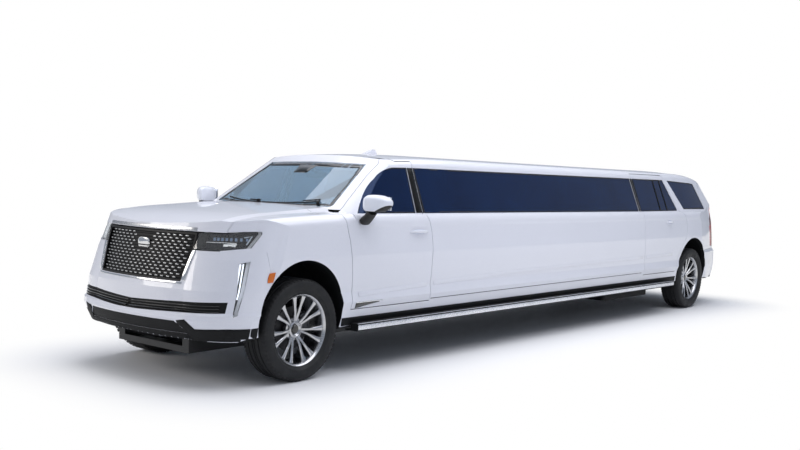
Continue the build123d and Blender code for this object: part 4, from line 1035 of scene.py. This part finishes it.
# door mirrors: rounded caps with a foot, and the glass facing back
# shell: out, front, back, low and top; foot: out, height, half length and depth
mirror = {
    "shell": ((1047, 3330, 3240, 1400, 1488), (1056, 3370, 3188, 1376, 1508), (1080, 3386, 3166, 1369, 1519),
              (1120, 3374, 3160, 1368, 1521), (1158, 3345, 3156, 1374, 1516), (1192, 3312, 3154, 1398, 1502),
              (1214, 3278, 3160, 1420, 1482), (1224, 3248, 3176, 1434, 1464)),
    "foot": ((1024, 1286, 62, 26), (1052, 1312, 60, 27), (1084, 1342, 56, 24), (1112, 1372, 50, 22)),
    "footX": 3305,
    "glass": ((3.1575, 1.130, 1.446), (0.006, 0.126, 0.112)),
}
for word, side in sides:
    bm = bmesh.new()
    addLoft(bm, [(((front + back) / 2 * mm, side * out * mm, (low + top) / 2 * mm),
                  ((front - back) / 2 * mm, 0, 0), (0, 0, (top - low) / 2 * mm))
                 for out, front, back, low, top in mirror["shell"]], 28, 0.62)
    addLoft(bm, [((mirror["footX"] * mm, side * out * mm, height * mm), (long * mm, 0, 0),
                  (0, -side * deep * 0.6 * mm, deep * mm))
                 for out, height, long, deep in mirror["foot"]], 16, 0.7)
    shell = newPiece(word + "_mirror_shell", bm, mirrorFinish, word + "_front_door", sharp=40)
    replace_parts(shell, word + "_door_mirror")
    (x, y, z), size = mirror["glass"]
    blockPiece(word + "_mirror_glass", [((x, side * y, z), size)], mirrorGlass, word + "_front_door",
               bevelMm=2)

# tail: (y, z) in millimetres seen from behind
tail = {
    "guide": ((894, 850), (898, 1190), (868, 1400), (850, 1520)),
    "guideOffsets": (0, 34),
    "reflector": ((560, 600), (760, 604)),
    "handle": ((-380, 1172), (380, 1172)),
    # these are across, then down
    "plate_recess": ((-265, -130, 0, 130, 265), (1132, 1060, 990, 925)),
    "blank_rear_plate": ((-152, -76, 0, 76, 152), (1100, 1048, 948)),
    "lowerTrim": (range(-760, 761, 95), (868, 846, 826)),
    "valance": (range(-780, 781, 120), (520, 460, 392)),
    "seal": ((-662, 1410), (662, 1410), (676, 1432), (592, 1780), (-592, 1780), (-676, 1432)),
    "blade": ((60, 1436), (-140, 1442), (-360, 1452)),
    "hub": ((-8, 0.5), (-8, 20), (16, 20), (22, 14), (23, 0.5)),
    "arm": ((0, 1424), (-180, 1445)),
    "armHalf": (0.013, 0.007),
    "brakeLamp": ((-170, 1812), (170, 1812)),
    "sensors": ((-520, 700), (-180, 706), (180, 706), (520, 700)),
}
tailLampFace = surfaceOf("tail_lamps")
rearBumperFace = surfaceOf("rear_bumper")
gateFace = surfaceOf("tailgate")
gateGlass = surfaceOf("tailgate_glass")
for word, side in sides:
    for index, offset in enumerate(tail["guideOffsets"]):
        path = [(side * (y - offset), z) for y, z in tail["guide"]]
        layStrip("%s_tail_light_guide_%d" % (word, index + 1), tailLampFace, "-x", path, 11, tailGlow,
                 bevelMm=1)
    path = onSide(tail["reflector"], side)
    layStrip(word + "_rear_reflector", rearBumperFace, "-x", path, 34, tailCover, wallMm=5, bevelMm=1)
layStrip("tailgate_handle_bar", gateFace, "-x", tail["handle"], 44, satinChrome, body="tailgate", wallMm=16,
         bevelMm=3)
for name, material, liftMm in (("plate_recess", blackTrim, 0.5), ("blank_rear_plate", plateBlank, 3)):
    layPatch(name, gateFace, "-x", gridOf(*tail[name]), material, body="tailgate", liftMm=liftMm, wallMm=2,
             bevelMm=0.8)
layPatch("tailgate_lower_trim", gateFace, "-x", gridOf(*tail["lowerTrim"]), glossBlack, body="tailgate",
         wallMm=4, bevelMm=1)
layStrip("tailgate_glass_seal", gateGlass, "-x", tail["seal"], 16, rubberSeal, body="tailgate",
         stepMm=80, **flush)
layStrip("rear_wiper_blade", gateGlass, "-x", tail["blade"], 10, rubberSeal, body="tailgate", liftMm=2,
         wallMm=9)
bm = bmesh.new()
hub = castOn(surfaceOf("tailgate", "tailgate_glass"), "-x", *tail["arm"][0])[0]
tip = castOn(gateGlass, "-x", *tail["arm"][1])[0]
back = Vector((-0.014, 0, 0.004))
addSpin(bm, tail["hub"], hub, (-0.97, 0, 0.2), 24, closed=False)
addLoft(bm, [(point + back, (0, 0, half), (0.005, 0, 0)) for point, half in zip((hub, tip), tail["armHalf"])],
        8, 0.6)
newPiece("rear_wiper_arm", bm, blackTrim, "tailgate")
layStrip("high_brake_lamp", surfaceOf("roof_panel", "tailgate"), "-x", tail["brakeLamp"], 12, tailCover,
         body="tailgate", wallMm=4, bevelMm=1)
layPatch("rear_valance", rearBumperFace, "-x", gridOf(*tail["valance"]), blackTrim)
seatBlocks("parking_sensors", rearBumperFace, "-x", tail["sensors"], (24, 24, 5), cupShade, 2)
print("tail")

# calipers: two pads and the bridge over the disc, as (radius, out in millimetres, size in metres)
caliper = {
    "angle": -75,
    "blocks": ((150, -44, (0.150, 0.022, 0.062)), (150, 1, (0.150, 0.010, 0.062)),
               (193, -22, (0.150, 0.058, 0.016))),
}
for end in ("front", "rear"):
    for word, side in sides:
        hub = Vector((hubs[end], side * hubs["out"], hubs["up"]))
        ray, along = aroundHub(math.radians(caliper["angle"]))
        turned = Matrix((along, Vector((0, 1, 0)), ray)).transposed()
        blocks = [(hub + ray * radius * mm + Vector((0, side * out * mm, 0)), size, turned)
                  for radius, out, size in caliper["blocks"]]
        body = word + "_knuckle" if end == "front" else "root"
        blockPiece(end + "_" + word + "_caliper", blocks, castAlloy, body, bevelMm=2.5)

# as shares of a pad's half size: corner fullness, sides pulled in, crown, depth and width of a sewn
# channel, and the place, depth and width of the seam round the edge
pad = {"corner": 7, "pull": 0.035, "crown": 0.16, "channel": (0.16, 0.035), "seam": (0.62, 0.012, 0.06)}
# front seats: (x, z), size and tilt of each pad, in millimetres and degrees about y
frontSeat = {
    "out": 400,
    "cushion": ((2478, 700), (520, 500, 140), -5),
    "backrest": ((2140, 1010), (600, 490, 130), -100),
    "headrest": ((2072, 1398), (150, 270, 100), -98),
    "bolster": ((2182, 990), (480, 82, 110), -100),
    "bolsterOut": 206,
    # in metres: the base's (x, z) and size, and the rails' x, z and size
    "base": ((2.415, 0.545), (0.44, 0.42, 0.160)),
    "rails": ((2.24, 2.60), 0.472, (0.05, 0.44, 0.020)),
}
# lounge: base blocks in metres, then as above
lounge = {
    "base": (((-0.250, -0.585, 0.505), (3.490, 0.420, 0.088)), ((-3.245, 0, 0.625), (0.560, 1.160, 0.090))),
    "benchX": (-1650, -950, -250, 450, 1150),
    "seat": ((-545, 622), (694, 385, 140)),  # (y, z), size
    "back": ((-800, 925), (694, 500, 105)),
    "lean": -96,
    "rearY": (-294, 294),
    "rearSeat": ((-3130, 682), (440, 584, 130), -4),
    "rearBack": ((-3440, 1010), (620, 584, 130), -103),
}


def cushion(name, centre, size, turn, channels=0, across="y"):
    # crowned closed form, thick along z before its turn; channels are sewn lines across it
    bm = bmesh.new()
    bmesh.ops.create_cube(bm, size=2.0)
    bmesh.ops.subdivide_edges(bm, edges=bm.edges[:], cuts=21, use_grid_fill=True)
    long, wide, deep = (s * mm / 2 for s in size)
    crown, pull, corner = pad["crown"], pad["pull"], pad["corner"]
    grooveDeep, grooveWide = pad["channel"]
    seamAt, seamDeep, seamWide = pad["seam"]
    lines = [2 * (k + 1) / (channels + 1) - 1 for k in range(channels)]
    for vert in bm.verts:
        u, v, w = vert.co
        full = (abs(u) ** corner + abs(v) ** corner + abs(w) ** corner) ** (1 / corner)
        u, v, w = u / full, v / full, w / full
        fall = (1 - u * u) * (1 - v * v)
        x = u * (1 - pull * (1 - v * v))
        y = v * (1 - pull * (1 - u * u))
        z = w * (1 - crown + crown * fall)
        if channels and w > 0.3:
            near = min(abs((v if across == "y" else u) * 0.94 - line) for line in lines)
            z -= grooveDeep * math.exp(-(near / grooveWide) ** 2) * min(1, 3 * fall)
        atEdge = max(abs(u), abs(v)) > 0.9
        tuck = 1 - seamDeep * math.exp(-((abs(w) - seamAt) / seamWide) ** 2) if atEdge else 1
        vert.co = Vector((x * long * tuck, y * wide * tuck, z * deep))
    bmesh.ops.transform(bm, matrix=Matrix.Translation(Vector(centre) * mm) @ turn, verts=bm.verts)
    newPiece(name, bm, leather, sharp=60)


def tilted(degrees, axis="Y"):
    return Matrix.Rotation(math.radians(degrees), 4, axis)


bases = bmesh.new()
for word, side in sides:
    y = side * frontSeat["out"]
    for name, channels in (("cushion", 3), ("backrest", 3), ("headrest", 0)):
        (x, z), size, tilt = frontSeat[name]
        cushion(word + "_front_" + name, (x, y, z), size, tilted(tilt), channels)
    (x, z), size, tilt = frontSeat["bolster"]
    for edge in (1, -1):
        cushion("%s_backrest_bolster_%s" % (word, "outer" if edge * side > 0 else "inner"),
                (x, y + edge * frontSeat["bolsterOut"], z), size, tilted(tilt))
    (x, z), size = frontSeat["base"]
    addBlock(bases, (x, y * mm, z), size, bevelMm=12)
    railX, z, size = frontSeat["rails"]
    for x in railX:
        addBlock(bases, (x, y * mm, z), size, bevelMm=3)
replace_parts(newPiece("front_seat_bases", bases, blackTrim), "front_seats")
bench = blockPiece("lounge_bench_base", lounge["base"], veneer, bevelMm=6)
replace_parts(bench, "lounge_seats")
for index, x in enumerate(lounge["benchX"]):
    (y, z), size = lounge["seat"]
    cushion("bench_cushion_%d" % (index + 1), (x, y, z), size, tilted(0), 4, "x")
    (y, z), size = lounge["back"]
    cushion("bench_backrest_%d" % (index + 1), (x, y, z), size, tilted(lounge["lean"], "X"), 4, "x")
for index, y in enumerate(lounge["rearY"]):
    for name, spec in (("cushion", "rearSeat"), ("backrest", "rearBack")):
        (x, z), size, tilt = lounge[spec]
        cushion("rear_bench_%s_%d" % (name, index + 1), (x, y, z), size, tilted(tilt), 4)
print("seats")

# steering wheel: leather rim, boss and three spokes, on an axis raised from level
steering = {
    "hub": Vector((2.860, 0.400, 1.130)),
    "rise": math.radians(25),
    "rimRadius": 170,
    "grip": (-1, 14, 14.5),  # middle and half depth along the axis, half thickness across
    "boss": ((-14, 0.5), (-14, 52), (4, 60), (12, 52), (14, 30), (14, 0.5)),
    "spokes": (90, -90, 180),
    "spoke": ((48, 0, 24), (100, -4, 16), (160, -2, 18)),  # radius, out, half width
}


def makeSteeringWheel():
    hub, rise = steering["hub"], steering["rise"]
    axis = Vector((-math.cos(rise), 0, math.sin(rise)))
    up = Vector((math.sin(rise), 0, math.cos(rise)))
    out, deep, thick = steering["grip"]
    turns = [math.tau * k / 14 for k in range(14)]
    ring = [(out + deep * math.sin(turn), steering["rimRadius"] + thick * math.cos(turn)) for turn in turns]
    rim = spunPiece("steering_wheel_rim", ring, [hub], axis, 72, leather, "steering_wheel",
                    60, closed=True)
    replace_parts(rim, "steering_wheel")
    bm = bmesh.new()
    addSpin(bm, steering["boss"], hub, axis, 36, closed=False)
    for angle in steering["spokes"]:
        turn = math.radians(angle)
        ray = up * math.cos(turn) + Vector((0, 1, 0)) * math.sin(turn)
        sideways = ray.cross(axis)
        addLoft(bm, [(hub + ray * r * mm + axis * out * mm, sideways * half * mm, axis * 6 * mm)
                     for r, out, half in steering["spoke"]], 10, 0.6)
    newPiece("steering_wheel_boss", bm, dashPlastic, "steering_wheel")


makeSteeringWheel()

# dashboard and console: centre and size in metres, and the turn of the screens
screenTurn = Matrix.Rotation(math.radians(-14), 3, "Y")
dash = {
    "screen": ((3.060, 0.300, 1.262), (0.022, 0.760, 0.150), screenTurn),
    "lowScreen": ((3.010, -0.020, 1.085), (0.012, 0.300, 0.120), Matrix.Rotation(math.radians(-24), 3, "Y")),
    "face": ((3.047, 0.300, 1.262), (0.003, 0.720, 0.118), screenTurn),
    "ventY": (-0.780, -0.240, 0.200, 0.780),
    "vent": ((3.040, 1.118), (0.004, 0.017), (0.016, 0.150, 0.006)),  # first slat, step to the next, size
    "slats": 4,
    "consoleTop": ((2.850, 0, 0.904), (0.560, 0.200, 0.012)),
    "selector": ((0, 20), (10, 24), (60, 13), (88, 20), (104, 18), (112, 8), (112, 0.5)),
    "selectorFoot": (2.780, 0, 0.908),
}
bm = bmesh.new()
addBlock(bm, *dash["screen"], 4)
addBlock(bm, *dash["lowScreen"], 3)
newPiece("dashboard_screens", bm, glossBlack)
blockPiece("screen_faces", [dash["face"]], screenFaceLit)
(x, z), (stepX, stepZ), size = dash["vent"]
slats = [((x + slat * stepX, y, z + slat * stepZ), size)
         for y in dash["ventY"] for slat in range(dash["slats"])]
blockPiece("dashboard_vents", slats, satinChrome)
blockPiece("console_top", [dash["consoleTop"]], veneer, bevelMm=4)
spunPiece("gear_selector", dash["selector"], [dash["selectorFoot"]], (0, 0, 1), 28, dashPlastic)

# bar: centre and size in metres, with x left out where it repeats; glasses and bucket as (up, radius)
bar = {
    "counter": ((0, 0.684, 1.124), (2.990, 0.262, 0.012)),
    "lightStrip": ((0, 0.5565, 1.1125), (2.960, 0.006, 0.008)),
    "doorX": [-1.250 + 0.5 * index for index in range(6)],
    "door": ((0.5585, 0.800), (0.484, 0.005, 0.600)),
    "doorHandle": ((0.551, 1.060), (0.160, 0.010, 0.012)),
    "top": (0.690, 1.1305),
    "tumblerX": (-1.200, -1.080, -0.960, 0.900, 1.020, 1.140),
    "tumbler": ((0, 0.5), (0, 30), (4, 33), (92, 38), (92, 35.5), (10, 30), (9, 0.5)),
    "bucket": ((0, 0.5), (0, 70), (6, 76), (130, 98), (136, 100), (138, 97), (130, 93), (10, 70),
               (8, 0.5)),
}


def alongBar(name):
    (y, z), size = bar[name]
    return [((x, y, z), size) for x in bar["doorX"]]


blockPiece("bar_counter", [bar["counter"]], glossBlack, bevelMm=4)
blockPiece("bar_doors", alongBar("door"), veneer, bevelMm=2)
blockPiece("bar_door_handles", alongBar("doorHandle"), chrome, bevelMm=2)
blockPiece("bar_light_strip", [bar["lightStrip"]], ledLens)
spots = [(x, *bar["top"]) for x in bar["tumblerX"]]
spunPiece("bar_tumblers", bar["tumbler"], spots, (0, 0, 1), 28, lampCover, sharp=40)
spunPiece("ice_bucket", bar["bucket"], [(0, *bar["top"])], (0, 0, 1), 48, satinChrome, sharp=40)

# screen on the partition, and lit lines along the ceiling, as centre and size in metres
partitionScreen = ((1.8155, 0, 1.330), (0.009, 1.050, 0.480))
ceilingLines = [((-0.4, y, 1.820), (3.6, 0.012, 0.006)) for y in (-0.440, 0.440)]
blockPiece("partition_screen", [partitionScreen], glossBlack, bevelMm=3)
blockPiece("ceiling_light_lines", ceilingLines, ledLens)
print("cabin")

# painted header across the roof's rear edge, down to the tailgate gap, in millimetres
header = {
    "crownZ": 1897.1,  # top of the roof's middle line
    "archR": 6102.5,  # the roof's curve across the car, centred archY out
    "archY": 27.5,
    "bendX": -3500,  # behind this the roof falls off as a parabola
    "fall": 8400,
    "seamZ": 1830,
    "lap": 14,
    "rearX": -4262,
    "halfWidth": 574,
    "sink": 0.8,
    "wall": 4,
    "columns": 24,
    "rows": 6,
}


def makeHeader():
    bm = bmesh.new()
    bmesh.ops.create_grid(bm, x_segments=header["columns"], y_segments=header["rows"], size=1.0)
    for vert in bm.verts:
        y = vert.co.x * header["halfWidth"]
        sag = header["archR"] - math.sqrt(header["archR"] ** 2 - (abs(y) - header["archY"]) ** 2)
        front = math.sqrt(header["fall"] * (header["crownZ"] - sag - header["seamZ"])) - header["lap"]
        rear = header["bendX"] - header["rearX"] - sag * 0.3
        behind = front + (rear - front) * (vert.co.y + 1) / 2
        height = header["crownZ"] - sag - behind ** 2 / header["fall"] - header["sink"]
        vert.co = Vector((header["bendX"] - behind, y, height)) * mm
    bmesh.ops.recalc_face_normals(bm, faces=bm.faces)
    if sum(face.normal.z for face in bm.faces) < 0:
        bmesh.ops.reverse_faces(bm, faces=bm.faces)
    addWall(newPiece("rear_header", bm, paint, sharp=40), header["wall"], -1)


makeHeader()
placeCamera()
placeWorld()
placeFloor()
for key in ("sky", "front", "side"):
    placeLamp(key, *light[key])
scene.view_settings.view_transform = "Standard"
